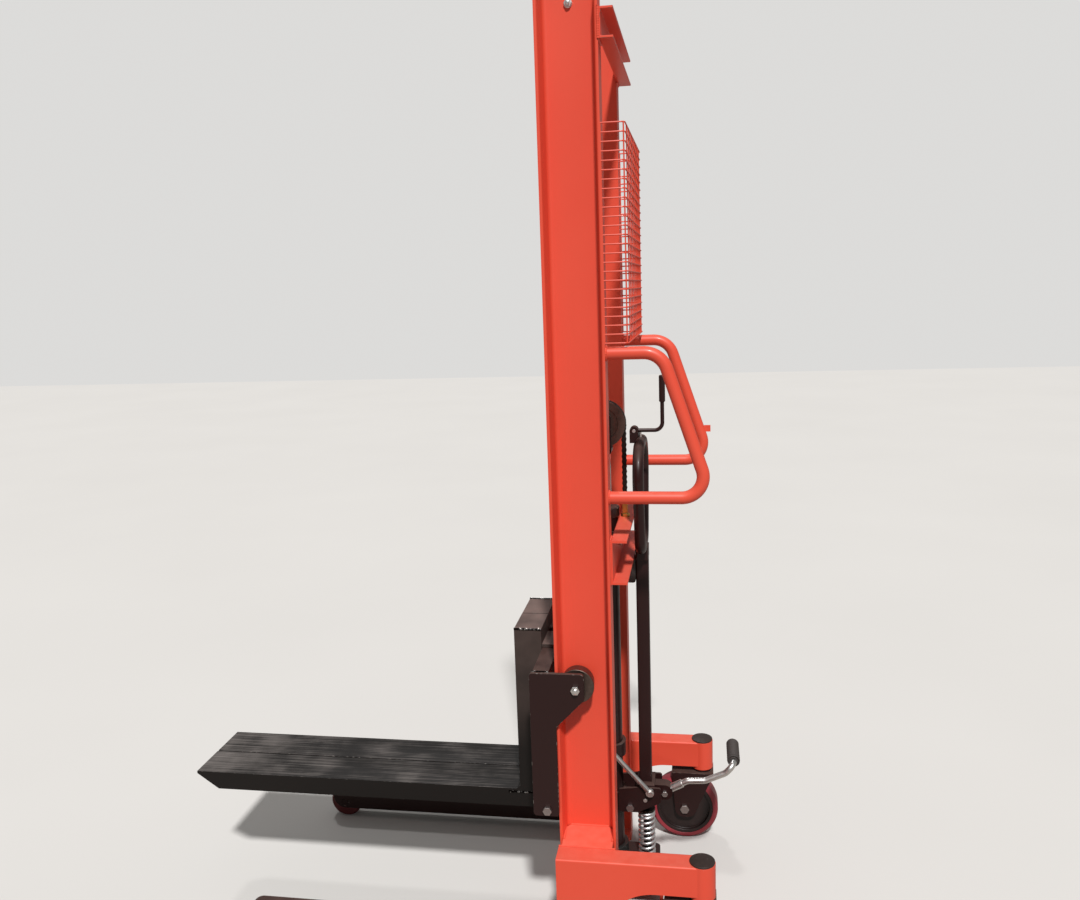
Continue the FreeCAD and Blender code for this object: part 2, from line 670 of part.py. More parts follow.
def leg(sign):
    """A straddle leg: an inverted channel, open at its rounded tip for the load wheel."""
    low, high = sorted(span(sign, CASTER_Y - ARM_W / 2, CASTER_Y + ARM_W / 2))
    tip = LOAD_WHEEL_X - LEG_TIP_REACH
    points = [(MAST_FRONT, LEG_TOP), (tip, LEG_TOP), (tip, LEG_BOTTOM), (MAST_FRONT, LEG_BOTTOM)]
    corners = [Vec(x, low, z) for x, z in points]
    shell = plate(corners, [0, LEG_TIP_R, LEG_TIP_R, 0], Vec(0, high - low, 0))
    hollow = block((tip - OVERRUN, MAST_FRONT), (low + LEG_WALL, high - LEG_WALL),
                   (LEG_BOTTOM - OVERRUN, LEG_TOP - LEG_WALL))
    hole = bar(Vec(LOAD_WHEEL_X, low, LOAD_WHEEL_D / 2), Vec(LOAD_WHEEL_X, high, LOAD_WHEEL_D / 2),
               LOAD_AXLE_D + 2 * FIT)
    return shell.cut(hollow).cut(hole)


def load_axle(sign):
    """The pin through the leg's two walls."""
    return bar(Vec(LOAD_WHEEL_X, sign * (CASTER_Y - ARM_W / 2), LOAD_WHEEL_D / 2),
               Vec(LOAD_WHEEL_X, sign * (CASTER_Y + ARM_W / 2), LOAD_WHEEL_D / 2), LOAD_AXLE_D)


def load_wheel(sign):
    """A solid roller with rounded edges on the leg's pin."""
    half = (ARM_W - 2 * LEG_WALL) / 2 - LOAD_WHEEL_GAP
    r, bore = LOAD_WHEEL_D / 2, LOAD_AXLE_D / 2 + FIT
    profile = [(bore, -half), (r - LOAD_EDGE, -half), (r, LOAD_EDGE - half), (r, half - LOAD_EDGE),
               (r - LOAD_EDGE, half), (bore, half)]
    return turned(profile, Vec(LOAD_WHEEL_X, sign * CASTER_Y, r), Y_DIR)


def caster_fork(sign):
    """Crown, two side plates, thrust bearing and stem, with the axle bolt as a second solid."""
    y = sign * CASTER_Y
    inner = WHEEL_W / 2 + CASTER_SIDE_GAP
    outer = inner + CASTER_PLATE_T
    front = -CASTER_TRAIL - CASTER_PLATE_FRONT
    nose = WHEEL_R - CASTER_NOSE_R
    points = [(CASTER_CROWN_REAR, CROWN_TOP), (front, CROWN_TOP), (-CASTER_TRAIL - CASTER_NOSE_R, nose),
              (CASTER_NOSE_R - CASTER_TRAIL, nose)]
    radii = [0, 0, CASTER_NOSE_ROUND, CASTER_NOSE_ROUND]
    cheeks = [plate([Vec(x, y + low, z) for x, z in points], radii, Vec(0, CASTER_PLATE_T, 0))
              for low in (inner, -outer)]
    crown = block((front, CASTER_CROWN_REAR), (y - inner, y + inner), (CROWN_LOW, CROWN_TOP))
    bearing = Part.makeCylinder(BEARING_D / 2, HOUSING_BOTTOM - REST_GAP - CROWN_TOP, Vec(0, y, CROWN_TOP))
    stem = Part.makeCylinder(STEM_D / 2, ARM_TOP - STEM_SINK - CROWN_TOP, Vec(0, y, CROWN_TOP))
    head_low, head_high = Vec(-CASTER_TRAIL, y - outer, WHEEL_R), Vec(-CASTER_TRAIL, y + outer, WHEEL_R)
    hole = bar(head_low, head_high, CASTER_AXLE_D + 2 * FIT)
    fork = join(crown, *cheeks, bearing, stem).cut(hole)
    axle = join(bar(head_low, head_high, CASTER_AXLE_D),
                hexagon(head_low, Y_DIR * -1, BOLT_HEAD_D, BOLT_HEAD_T),
                hexagon(head_high, Y_DIR, BOLT_HEAD_D, BOLT_HEAD_T))
    return group(fork, axle)


def wheel_hub(sign):
    """The black wheel centre: rim, dished web and boss."""
    rim_r = WHEEL_R - TREAD_T
    web = WHEEL_W / 2 - HUB_FACE_DIP
    edge = WHEEL_W / 2 - FIT
    half = [(HUB_BOSS_D / 2, edge), (HUB_BOSS_D / 2, web), (rim_r - HUB_RIM_T, web),
            (rim_r - HUB_RIM_T, edge), (rim_r, edge)]
    bore = CASTER_AXLE_D / 2 + FIT
    profile = [(bore, edge), *half, *[(r, -h) for r, h in reversed(half)], (bore, -edge)]
    return turned(profile, Vec(-CASTER_TRAIL, sign * CASTER_Y, WHEEL_R), Y_DIR)


def wheel_tread(sign):
    """The cast tyre with rounded shoulders."""
    inner = WHEEL_R - TREAD_T + FIT
    half = WHEEL_W / 2
    profile = [(inner, -half), (WHEEL_R - TREAD_ROUND, -half), (WHEEL_R, TREAD_ROUND - half),
               (WHEEL_R, half - TREAD_ROUND), (WHEEL_R - TREAD_ROUND, half), (inner, half)]
    return turned(profile, Vec(-CASTER_TRAIL, sign * CASTER_Y, WHEEL_R), Y_DIR)


def cross_channel(low, high, depth, half_width):
    """A folded channel behind the mast, open to the rear."""
    x, t = MAST_REAR, BEAM_T
    points = [(x, low), (x + depth, low), (x + depth, low + t), (x + t, low + t), (x + t, high - t),
              (x + depth, high - t), (x + depth, high), (x, high)]
    corners = [Vec(px, -half_width, pz) for px, pz in points]
    radii = [t, 0, 0, 0, 0, 0, 0, t]
    return plate(corners, radii, Vec(0, 2 * half_width, 0))


def strap_bolt_place(sign):
    """Where a strap bolt crosses the middle beam's web."""
    return Vec(MAST_REAR, sign * (BARREL_R + RING_GAP + STRAP_T + STRAP_EAR / 2),
               (MID_BEAM_LOW + MID_BEAM_HIGH) / 2)


def mid_beam():
    """The middle cross channel, drilled for the chain anchor and the ram strap."""
    beam = cross_channel(MID_BEAM_LOW, MID_BEAM_HIGH, MID_BEAM_DEPTH, FLANGE_EDGE_Y - MID_BEAM_INSET)
    reach = Vec(0, 0, BEAM_T + OVERRUN)
    anchor = Vec(CHAIN_REAR_X, 0, MID_BEAM_HIGH)
    beam = beam.cut(bar(anchor - reach, anchor + reach, ANCHOR_BOLT_D + 2 * FIT))
    for _, sign in SIDES:
        place = strap_bolt_place(sign)
        beam = beam.cut(bar(place, place + X_DIR * (BEAM_T + OVERRUN), STRAP_BOLT_D + 2 * FIT))
    return beam


def base_plate():
    """The folded floor between the mast feet that carries ram and pump."""
    front = MAST_FRONT + BASE_PLATE_SETBACK
    low = BASE_PLATE_TOP - BASE_PLATE_T
    wide = block((front, MAST_REAR), (-WEB_INNER_Y, WEB_INNER_Y), (low, BASE_PLATE_TOP))
    tongue = block((MAST_REAR, BASE_PLATE_REAR), (-BASE_TONGUE_HALF, BASE_TONGUE_HALF), (low, BASE_PLATE_TOP))
    lip = block((front, front + BASE_PLATE_T), (-WEB_INNER_Y, WEB_INNER_Y), (low - BASE_LIP_H, low))
    tail = block((BASE_PLATE_REAR - BASE_PLATE_T, BASE_PLATE_REAR), (-BASE_TONGUE_HALF, BASE_TONGUE_HALF),
                 (low - BASE_LIP_H, low))
    return join(wide, tongue, lip, tail)


def handrail(sign):
    """A bent tube welded to the back of one mast channel."""
    places = [(MAST_REAR, RAIL_TOP_Z), (RAIL_SHOULDER_X, RAIL_TOP_Z), (RAIL_ELBOW_X, RAIL_LOW_Z),
              (MAST_REAR, RAIL_LOW_Z)]
    corners = [Vec(x, sign * RAIL_Y, z) for x, z in places]
    path = rounded(corners, [0, RAIL_SHOULDER_R, RAIL_ELBOW_R, 0], False)
    rail = tube(path, corners[0], X_DIR, RAIL_D).cut(tube(path, corners[0], X_DIR, RAIL_BORE_D))
    if sign < 0:
        return rail
    run = (RAIL_ELBOW_X - RAIL_SHOULDER_X) / (RAIL_TOP_Z - RAIL_LOW_Z)
    root = RAIL_SHOULDER_X + run * (RAIL_TOP_Z - RAIL_TAB_Z) + (RAIL_D + RAIL_BORE_D) / 4
    tab = block((root, root + RAIL_TAB_L), (RAIL_Y - RAIL_TAB_T / 2, RAIL_Y + RAIL_TAB_T / 2),
                (RAIL_TAB_Z - RAIL_TAB_L / 2, RAIL_TAB_Z + RAIL_TAB_L / 2))
    return join(rail, tab)


def net(origin, across, width, columns):
    """A flat wire net as one holed face with a wire's thickness."""
    height = GUARD_HIGH - GUARD_LOW
    normal = across.cross(Z_DIR)

    def ring(a_low, a_high, z_low, z_high):
        spots = [(a_low, z_low), (a_high, z_low), (a_high, z_high), (a_low, z_high), (a_low, z_low)]
        return Part.makePolygon([origin + across * a + Z_DIR * z for a, z in spots])

    step_a = (width - GUARD_WIRE) / columns
    step_z = (height - GUARD_WIRE) / GUARD_ROWS
    rings = [ring(0, width, 0, height)]
    for i in range(columns):
        for j in range(GUARD_ROWS):
            rings.append(ring(i * step_a + GUARD_WIRE, (i + 1) * step_a,
                              j * step_z + GUARD_WIRE, (j + 1) * step_z))
    return Part.makeFace(rings, "Part::FaceMakerBullseye").extrude(normal * GUARD_WIRE)


def mesh_guard():
    """The wire tray behind the mast: a back net and two side nets."""
    rear = MAST_REAR + GUARD_DEPTH
    back = net(Vec(rear - GUARD_WIRE, -FLANGE_EDGE_Y, GUARD_LOW), Y_DIR, 2 * FLANGE_EDGE_Y, GUARD_COLUMNS)
    side = GUARD_DEPTH - GUARD_WIRE
    left = net(Vec(MAST_REAR, -FLANGE_EDGE_Y + GUARD_WIRE, GUARD_LOW), X_DIR, side, 1)
    right = net(Vec(MAST_REAR, FLANGE_EDGE_Y, GUARD_LOW), X_DIR, side, 1)
    return group(back, left, right)


def ram_barrel():
    """The lift cylinder, closed at the foot."""
    foot = Vec(RAM_X, 0, BARREL_LOW)
    outer = Part.makeCylinder(BARREL_R, BARREL_TOP - BARREL_LOW, foot)
    floor = foot + Vec(0, 0, BARREL_FLOOR_T)
    return outer.cut(Part.makeCylinder(BARREL_BORE_D / 2, BARREL_TOP - BARREL_LOW, floor))


def ram_gland():
    """The head nut that guides the rod, screwed into the barrel."""
    r, bore = GLAND_D / 2, ROD_D / 2 + FIT
    neck = BARREL_BORE_D / 2 - FIT
    profile = [(bore, -GLAND_SKIRT), (neck, -GLAND_SKIRT), (neck, 0), (r, 0),
               (r, GLAND_HEAD_H - GLAND_CHAMFER), (r - GLAND_CHAMFER, GLAND_HEAD_H), (bore, GLAND_HEAD_H)]
    return turned(profile, Vec(RAM_X, 0, BARREL_TOP), Z_DIR)


def ram_rod():
    """The chromed rod that lifts the pulley."""
    return bar(Vec(RAM_X, 0, PISTON_LOW + PISTON_H), Vec(RAM_X, 0, ROD_TOP), ROD_D)


def ram_piston():
    """The piston inside the barrel, with a seal groove."""
    r = BARREL_BORE_D / 2 - FIT
    low, high = PISTON_H / 2 - PISTON_GROOVE, PISTON_H / 2 + PISTON_GROOVE
    profile = [(0, 0), (r, 0), (r, low), (r - PISTON_GROOVE, low), (r - PISTON_GROOVE, high), (r, high),
               (r, PISTON_H), (0, PISTON_H)]
    return turned(profile, Vec(RAM_X, 0, PISTON_LOW), Z_DIR)


def ring_on_ram(low, high, thickness):
    """A collar round the barrel."""
    place = Vec(RAM_X, 0, low)
    return Part.makeCylinder(BARREL_R + RING_GAP + thickness, high - low, place)


def cut_for_ram(shape):
    """Clears the barrel's place out of a collar."""
    place = Vec(RAM_X, 0, shape.BoundBox.ZMin - OVERRUN)
    return shape.cut(Part.makeCylinder(BARREL_R + RING_GAP, shape.BoundBox.ZLength + 2 * OVERRUN, place))


def ram_strap():
    """The strap that holds the ram to the middle beam."""
    middle = (MID_BEAM_LOW + MID_BEAM_HIGH) / 2
    low, high = middle - STRAP_W / 2, middle + STRAP_W / 2
    half = BARREL_R + RING_GAP + STRAP_T
    bow = ring_on_ram(low, high, STRAP_T).common(block((RAM_X - half, RAM_X), (-half, half), (low, high)))
    legs = block((RAM_X, MAST_REAR), (-half, half), (low, high))
    hollow = block((RAM_X, MAST_REAR), (STRAP_T - half, half - STRAP_T), (low - OVERRUN, high + OVERRUN))
    ears = block((MAST_REAR - STRAP_T, MAST_REAR), (-half - STRAP_EAR, half + STRAP_EAR), (low, high))
    strap = cut_for_ram(join(bow, legs, ears).cut(hollow))
    for _, sign in SIDES:
        place = strap_bolt_place(sign)
        strap = strap.cut(bar(place - X_DIR * (STRAP_T + OVERRUN), place, STRAP_BOLT_D + 2 * FIT))
    return strap


def strap_bolt(sign):
    """Bolt and nut through strap and beam."""
    place = strap_bolt_place(sign)
    front, rear = place - X_DIR * STRAP_T, place + X_DIR * BEAM_T
    return join(bar(front, rear, STRAP_BOLT_D), hexagon(front, X_DIR * -1, CLAMP_HEAD_D, CLAMP_HEAD_T),
                hexagon(rear, X_DIR, CLAMP_HEAD_D, CLAMP_HEAD_T))


def stop_clamp():
    """The collar with a lug on which the stop rod rests while the tiller stands upright."""
    low, high = STOP_ROD_TOP_Z - STOP_CLAMP_H / 2, STOP_ROD_TOP_Z + STOP_CLAMP_H / 2
    ring = ring_on_ram(low, high, STOP_CLAMP_T)
    slope = hypot(STOP_ROD_TOP_X - STOP_ROD_FOOT_X, STOP_ROD_TOP_Z - STOP_ROD_FOOT_Z)
    lean = (STOP_ROD_TOP_Z - STOP_ROD_FOOT_Z) / slope
    face = STOP_ROD_TOP_X - STOP_ROD_D / 2 * lean - REST_GAP
    lug = block((face - STOP_LUG_L, face), (STOP_ROD_Y - STOP_ROD_D / 2, 0), (low, high))
    return cut_for_ram(join(ring, lug))


def pulley_yoke():
    """The fork on the rod's head that carries the chain pulley."""
    outer = YOKE_INNER_Y + YOKE_T
    low, high = ROD_TOP, PULLEY_Z + YOKE_RISE
    body = side_plate([(RAM_X - YOKE_HALF_L, low), (RAM_X + YOKE_HALF_L, low), (RAM_X + YOKE_HALF_L, high),
                       (RAM_X - YOKE_HALF_L, high)], YOKE_T, -outer, outer)
    reach = YOKE_HALF_L + OVERRUN
    slot = block((RAM_X - reach, RAM_X + reach), (-YOKE_INNER_Y, YOKE_INNER_Y),
                 (low + YOKE_BASE_T, high + OVERRUN))
    hole = bar(Vec(RAM_X, -outer, PULLEY_Z), Vec(RAM_X, outer, PULLEY_Z), PULLEY_AXLE_D + 2 * FIT)
    return body.cut(slot).cut(hole)


def pulley_axle():
    """The pin of the chain pulley, with a head at each end."""
    outer = YOKE_INNER_Y + YOKE_T
    low, high = Vec(RAM_X, -outer, PULLEY_Z), Vec(RAM_X, outer, PULLEY_Z)
    heads = [bar(p, p + Y_DIR * side * PULLEY_FLANGE_T, PULLEY_AXLE_D + PULLEY_RIM)
             for p, side in ((low, -1), (high, 1))]
    return join(bar(low, high, PULLEY_AXLE_D), *heads)


def chain_pulley():
    """The grooved wheel that the chain runs over."""
    groove = CHAIN_PITCH_R - CHAIN_H / 2 - PULLEY_GAP
    rim = groove + CHAIN_H - PULLEY_GAP
    half, wall = PULLEY_HALF_W, PULLEY_HALF_W + PULLEY_FLANGE_T
    bore = PULLEY_AXLE_D / 2 + FIT
    dip = bore + PULLEY_RIM
    outer = [(dip, wall), (dip, half), (groove - PULLEY_RIM, half), (groove - PULLEY_RIM, wall), (rim, wall),
             (rim, half), (groove, half)]
    profile = [(bore, wall), *outer, *[(r, -h) for r, h in reversed(outer)], (bore, -wall)]
    return turned(profile, Vec(RAM_X, 0, PULLEY_Z), Y_DIR)


def chain_eye(x, low, high):
    """The flat eye that holds an end of the chain."""
    return block((x - CHAIN_H / 2, x + CHAIN_H / 2), (-CHAIN_W / 2, CHAIN_W / 2), (low, high))


def chain_point(length):
    """The place on the chain's middle line at a length from the carriage's eye."""
    turn = (length - CHAIN_RISE) / CHAIN_PITCH_R
    if turn < 0:
        return Vec(CHAIN_FRONT_X, 0, CHAIN_LOW + length)
    if turn < pi:
        return Vec(RAM_X - CHAIN_PITCH_R * cos(turn), 0, PULLEY_Z + CHAIN_PITCH_R * sin(turn))
    return Vec(CHAIN_REAR_X, 0, PULLEY_Z - (turn - pi) * CHAIN_PITCH_R)


def chain_link(first, second, y_low, thickness):
    """One waisted link plate between two pins."""
    along = (second - first).normalize()
    across = along.cross(Y_DIR)
    r = CHAIN_H / 2
    middle, waist = (first + second) / 2, r - CHAIN_WAIST
    edges = [Part.Arc(first + across * r, middle + across * waist, second + across * r).toShape(),
             Part.Arc(second + across * r, second + along * r, second - across * r).toShape(),
             Part.Arc(second - across * r, middle - across * waist, first - across * r).toShape(),
             Part.Arc(first - across * r, first - along * r, first + across * r).toShape()]
    face = Part.Face(Part.Wire(edges))
    face.translate(Y_DIR * y_low)
    return face.extrude(Y_DIR * thickness)


def leaf_chain(start, end, room):
    """The links between two lengths along the leaf chain, cut square where its room ends."""
    count = round(CHAIN_L / (CHAIN_H + CHAIN_LINK_GAP))
    pitch = CHAIN_L / count
    layer = CHAIN_W / CHAIN_LAYERS
    links = []
    for k in range(count + 1):
        first, second = (k - 0.5) * pitch, (k + 0.5) * pitch
        if second + CHAIN_H > start and first - CHAIN_H < end:
            pins = chain_point(first), chain_point(second)
            for i in range(k % 2, CHAIN_LAYERS, 2):
                links.append(chain_link(*pins, i * layer - CHAIN_W / 2, layer))
    return join(*links).common(room)


def chain_room(x, low, high):
    """The space round one straight run of the chain."""
    return block((x - CHAIN_H, x + CHAIN_H), (-CHAIN_W, CHAIN_W), (low, high))


def chain_front():
    """The run that pulls the carriage up."""
    return leaf_chain(0, CHAIN_RISE, chain_room(CHAIN_FRONT_X, CHAIN_LOW, PULLEY_Z))


def chain_bend():
    """The half turn of chain over the pulley."""
    reach = CHAIN_PITCH_R + CHAIN_H
    above = block((RAM_X - reach, RAM_X + reach), (-CHAIN_W, CHAIN_W), (PULLEY_Z, PULLEY_Z + reach))
    return leaf_chain(CHAIN_RISE, CHAIN_RISE + pi * CHAIN_PITCH_R, above)


def chain_rear():
    """The run that ends at the anchor on the middle beam."""
    room = chain_room(CHAIN_REAR_X, ANCHOR_TOP, PULLEY_Z)
    return leaf_chain(CHAIN_RISE + pi * CHAIN_PITCH_R, CHAIN_L, room)


def chain_anchor():
    """Eye bolt on the middle beam that holds the fixed end of the chain."""
    seat = Vec(CHAIN_REAR_X, 0, MID_BEAM_HIGH)
    eye = chain_eye(CHAIN_REAR_X, ANCHOR_TOP - ANCHOR_EYE_H, ANCHOR_TOP)
    below = seat - Z_DIR * BEAM_T
    shank = bar(below - Z_DIR * ANCHOR_TAIL, seat + Z_DIR * ANCHOR_EYE_GAP, ANCHOR_BOLT_D)
    return join(shank, eye, hexagon(seat, Z_DIR, ANCHOR_NUT_D, ANCHOR_NUT_T),
                hexagon(below, Z_DIR * -1, ANCHOR_NUT_D, ANCHOR_NUT_T))


def pump_block():
    """The cast oil block: ram socket in front, pump bore behind."""
    points = [(PUMP_BLOCK_FRONT, -PUMP_BLOCK_HALF_W), (PUMP_BLOCK_REAR, -PUMP_BLOCK_HALF_W),
              (PUMP_BLOCK_REAR, PUMP_BLOCK_HALF_W), (PUMP_BLOCK_FRONT, PUMP_BLOCK_HALF_W)]
    corners = [Vec(x, y, BASE_PLATE_TOP) for x, y in points]
    casting = plate(corners, [PUMP_BLOCK_ROUND] * 4, Vec(0, 0, PUMP_BLOCK_H))
    boss = Part.makeCylinder(BARREL_R + BARREL_SOCKET_T, PUMP_BLOCK_H + BARREL_SOCKET_RISE,
                             Vec(RAM_X, 0, BASE_PLATE_TOP))
    guide = Part.makeCylinder(PISTON_D / 2 + FIT + PUMP_GUIDE_T, PUMP_GUIDE_H, Vec(PUMP_X, 0, PUMP_BLOCK_TOP))
    socket = Part.makeCylinder(BARREL_R + FIT, PUMP_BLOCK_H + BARREL_SOCKET_RISE, Vec(RAM_X, 0, BARREL_LOW))
    bore = Part.makeCylinder(PISTON_D / 2 + FIT, PISTON_STROKE_DEPTH + PUMP_GUIDE_H,
                             Vec(PUMP_X, 0, PUMP_BLOCK_TOP - PISTON_STROKE_DEPTH))
    return join(casting, boss, guide).cut(socket).cut(bore)


def pump_piston():
    """The pump plunger with its spring cap and stud."""
    foot = Vec(PUMP_X, 0, PUMP_BLOCK_TOP - PISTON_REST_DEPTH)
    seat = Vec(PUMP_X, 0, SPRING_TOP)
    cap = bar(seat, seat + Z_DIR * CAP_PLATE_T, SPRING_D)
    return join(bar(foot, seat, PISTON_D), cap, bar(seat, Vec(PUMP_X, 0, STUD_TOP), STUD_D))


def biarc(start, start_way, end, end_way):
    """Two arcs that join smoothly between two points with given directions."""
    gap = end - start
    both = start_way + end_way
    spread = 2 * (1 - start_way.dot(end_way))
    along = gap.dot(both)
    reach = (sqrt(along * along + spread * gap.dot(gap)) - along) / spread
    first, second = start + start_way * reach, end - end_way * reach
    joint = (first + second) * 0.5
    return [arc_by_corner(start, first, joint), arc_by_corner(joint, second, end)]


def arc_by_corner(start, corner, end):
    """The arc that touches start-corner and corner-end."""
    middle = (start + end) * 0.5
    rise = corner - middle
    half = (end - start).Length / 2
    lift = half * tan(atan2(rise.Length, half) / 2)
    return Part.Arc(start, middle + rise.normalize() * lift, end).toShape()


def pump_spring():
    """The return spring: one wound wire with a close turn at each end."""
    mean_r = (SPRING_D - SPRING_WIRE) / 2
    close = SPRING_WIRE + SPRING_DEAD_GAP
    height = SPRING_H - SPRING_WIRE - 2 * REST_GAP
    pitch = (height - 2 * close) / SPRING_TURNS
    low = SPRING_LOW + SPRING_WIRE / 2 + REST_GAP
    halves = [close / 2] * 2 + [pitch / 2] * (2 * SPRING_TURNS) + [close / 2] * 2
    heights = [low + sum(halves[:k]) for k in range(len(halves) + 1)]
    slopes = [halves[0], *[(a + b) / 2 for a, b in zip(halves, halves[1:])], halves[-1]]

    def spot(k):
        return Vec(PUMP_X + mean_r * cos(k * pi), mean_r * sin(k * pi), heights[k])

    def way(k):
        return Vec(0, mean_r * cos(k * pi), slopes[k] / pi).normalize()

    edges = [arc for k in range(len(halves)) for arc in biarc(spot(k), way(k), spot(k + 1), way(k + 1))]
    path = Part.Wire(edges)
    wound = tube(path, spot(0), way(0), SPRING_WIRE)
    line = [p for edge in edges for p in edge.discretize(SPRING_CHECK_POINTS)[:-1]]
    turn = len(line) // (SPRING_TURNS + 2)
    least = min((p - q).Length for i, p in enumerate(line) for q in line[i + turn // 2:])
    print("spring: least gap between turns %.2f mm" % (least - SPRING_WIRE))
    return wound


def pivot_bracket():
    """The collar on the ram with two ears for the lever's pivot pin."""
    collar = ring_on_ram(COLLAR_LOW, COLLAR_HIGH, COLLAR_T)
    outer = CHEEK_INNER_Y - EAR_GAP
    ears = []
    for low in (outer - EAR_T, -outer):
        arm = block((RAM_X, PIVOT_X), (low, low + EAR_T), (PIVOT_Z - EAR_ROUND, PIVOT_Z + EAR_ROUND))
        nose = Part.makeCylinder(EAR_ROUND, EAR_T, Vec(PIVOT_X, low, PIVOT_Z), Y_DIR)
        ears.append(join(arm, nose))
    hole = bar(Vec(PIVOT_X, -outer, PIVOT_Z), Vec(PIVOT_X, outer, PIVOT_Z), PIVOT_D + 2 * FIT)
    return cut_for_ram(join(collar, *ears)).cut(hole)


def pivot_pin():
    """The bolt that the pump lever turns on."""
    outer = CHEEK_INNER_Y + CHEEK_T + SLIDE_GAP
    low, high = Vec(PIVOT_X, -outer, PIVOT_Z), Vec(PIVOT_X, outer, PIVOT_Z)
    return join(bar(low, high, PIVOT_D), hexagon(low, Y_DIR * -1, PIVOT_HEAD_D, PIVOT_HEAD_T),
                hexagon(high, Y_DIR, PIVOT_HEAD_D, PIVOT_HEAD_T))


def pump_lever():
    """Two cheeks, the tiller socket between them and the lug for the foot pedal."""
    points = [(CHEEK_FRONT_X, CHEEK_LOW_Z), (CHEEK_FRONT_X, CHEEK_TOP_Z), (CHEEK_HEEL_X, CHEEK_NOSE_TOP_Z),
              (CHEEK_NOSE_X, CHEEK_NOSE_TOP_Z), (CHEEK_NOSE_X, CHEEK_NOSE_Z), (CHEEK_TOE_X, CHEEK_TOE_Z),
              (CHEEK_HEEL_X, CHEEK_LOW_Z)]
    outer = CHEEK_INNER_Y + CHEEK_T
    cheeks = [side_plate(points, CHEEK_ROUND, low, low + CHEEK_T) for low in (CHEEK_INNER_Y, -outer)]
    half = TILLER_W / 2 + FIT + YOKE_BLOCK_WALL
    middle = block((PUMP_X - half, PUMP_X + half), (-CHEEK_INNER_Y, CHEEK_INNER_Y),
                   (YOKE_BLOCK_LOW, YOKE_BLOCK_HIGH))
    lug = block((PUMP_X + half, PEDAL_FOOT_X), (-LUG_W / 2, LUG_W / 2), (LUG_LOW, LUG_HIGH))
    eye = Part.makeCylinder(LUG_H / 2, LUG_W, Vec(PEDAL_FOOT_X, -LUG_W / 2, LUG_LOW + LUG_H / 2), Y_DIR)
    lever = join(*cheeks, middle, lug, eye)
    seat = TILLER_W / 2 + FIT
    socket = block((PUMP_X - seat, PUMP_X + seat), (-seat, seat), (TILLER_FOOT, YOKE_BLOCK_HIGH + OVERRUN))
    lever = lever.cut(socket)
    for x, z, d in ((PIVOT_X, PIVOT_Z, PIVOT_D), (PUMP_X, PRESS_Z, PRESS_PIN_D)):
        lever = lever.cut(bar(Vec(x, -outer, z), Vec(x, outer, z), d + 2 * FIT))
    pin = Vec(STOP_ROD_FOOT_X, -CHEEK_INNER_Y, STOP_ROD_FOOT_Z)
    lever = lever.cut(bar(pin, pin - Y_DIR * OVERRUN, CLAMP_BOLT_D + 2 * FIT))
    lever = lever.cut(pedal_socket(PEDAL_SLEEVE_D + 2 * FIT))
    cross = Vec(PEDAL_FOOT_X, -LUG_W / 2, PEDAL_FOOT_Z)
    return lever.cut(bar(cross, cross + Y_DIR * LUG_W, CLAMP_BOLT_D + 2 * FIT))


def pedal_way():
    """The direction in which the pedal rod leaves the lever."""
    return Vec(PEDAL_KNEE_X - PEDAL_FOOT_X, 0, PEDAL_KNEE_Z - PEDAL_FOOT_Z).normalize()


def pedal_socket(diameter):
    """The space of the pedal's sleeve, from its seat in the lug to the knee."""
    foot = Vec(PEDAL_FOOT_X, 0, PEDAL_FOOT_Z)
    return bar(foot - pedal_way() * CLAMP_HEAD_D, Vec(PEDAL_KNEE_X, 0, PEDAL_KNEE_Z) - pedal_way() * PEDAL_D,
               diameter)


def press_roller():
    """The roller that presses the pump plunger down."""
    half = PRESS_R
    ring = bar(Vec(PUMP_X, -half, PRESS_Z), Vec(PUMP_X, half, PRESS_Z), 2 * PRESS_R)
    return ring.cut(bar(Vec(PUMP_X, -half, PRESS_Z), Vec(PUMP_X, half, PRESS_Z), PRESS_PIN_D + 2 * FIT))


def lever_bolts():
    """Fasteners that ride on the lever: roller pin, stop rod bolt, pedal bolt and release pin."""
    outer = CHEEK_INNER_Y + CHEEK_T
    roller = bar(Vec(PUMP_X, -outer, PRESS_Z), Vec(PUMP_X, outer, PRESS_Z), PRESS_PIN_D)
    root = Vec(STOP_ROD_FOOT_X, -CHEEK_INNER_Y, STOP_ROD_FOOT_Z)
    face = Vec(STOP_ROD_FOOT_X, STOP_ROD_Y - STOP_EYE_T / 2, STOP_ROD_FOOT_Z)
    stop = join(bar(root, face, CLAMP_BOLT_D), hexagon(face, Y_DIR * -1, CLAMP_HEAD_D, CLAMP_HEAD_T))
    low = Vec(PEDAL_FOOT_X, -LUG_W / 2, PEDAL_FOOT_Z)
    high = low + Y_DIR * LUG_W
    pedal = join(bar(low, high, CLAMP_BOLT_D), hexagon(low, Y_DIR * -1, CLAMP_HEAD_D, CLAMP_HEAD_T),
                 hexagon(high, Y_DIR, CLAMP_HEAD_D, CLAMP_HEAD_T))
    reach = RELEASE_BOSS_W / 2 + SLIDE_GAP + RELEASE_EAR_T
    release = bar(Vec(RELEASE_PIN_X, -reach, RELEASE_PIN_Z), Vec(RELEASE_PIN_X, reach, RELEASE_PIN_Z),
                  RELEASE_PIN_D)
    return group(roller, stop, pedal, release)


def square_bar(half, radius, low, high):
    """An upright square bar on the tiller's axis with rounded edges."""
    corners = [Vec(LOOP_X + sx * half, sy * half, low) for sx, sy in ((-1, -1), (1, -1), (1, 1), (-1, 1))]
    return plate(corners, [radius] * len(corners), Vec(0, 0, high - low))


def tiller_tube():
    """The square tube of the tiller."""
    half = TILLER_W / 2
    outer = square_bar(half, TILLER_ROUND, TILLER_FOOT, HUB_LOW)
    return outer.cut(square_bar(half - TILLER_WALL, TILLER_ROUND - TILLER_WALL, TILLER_FOOT, HUB_LOW))


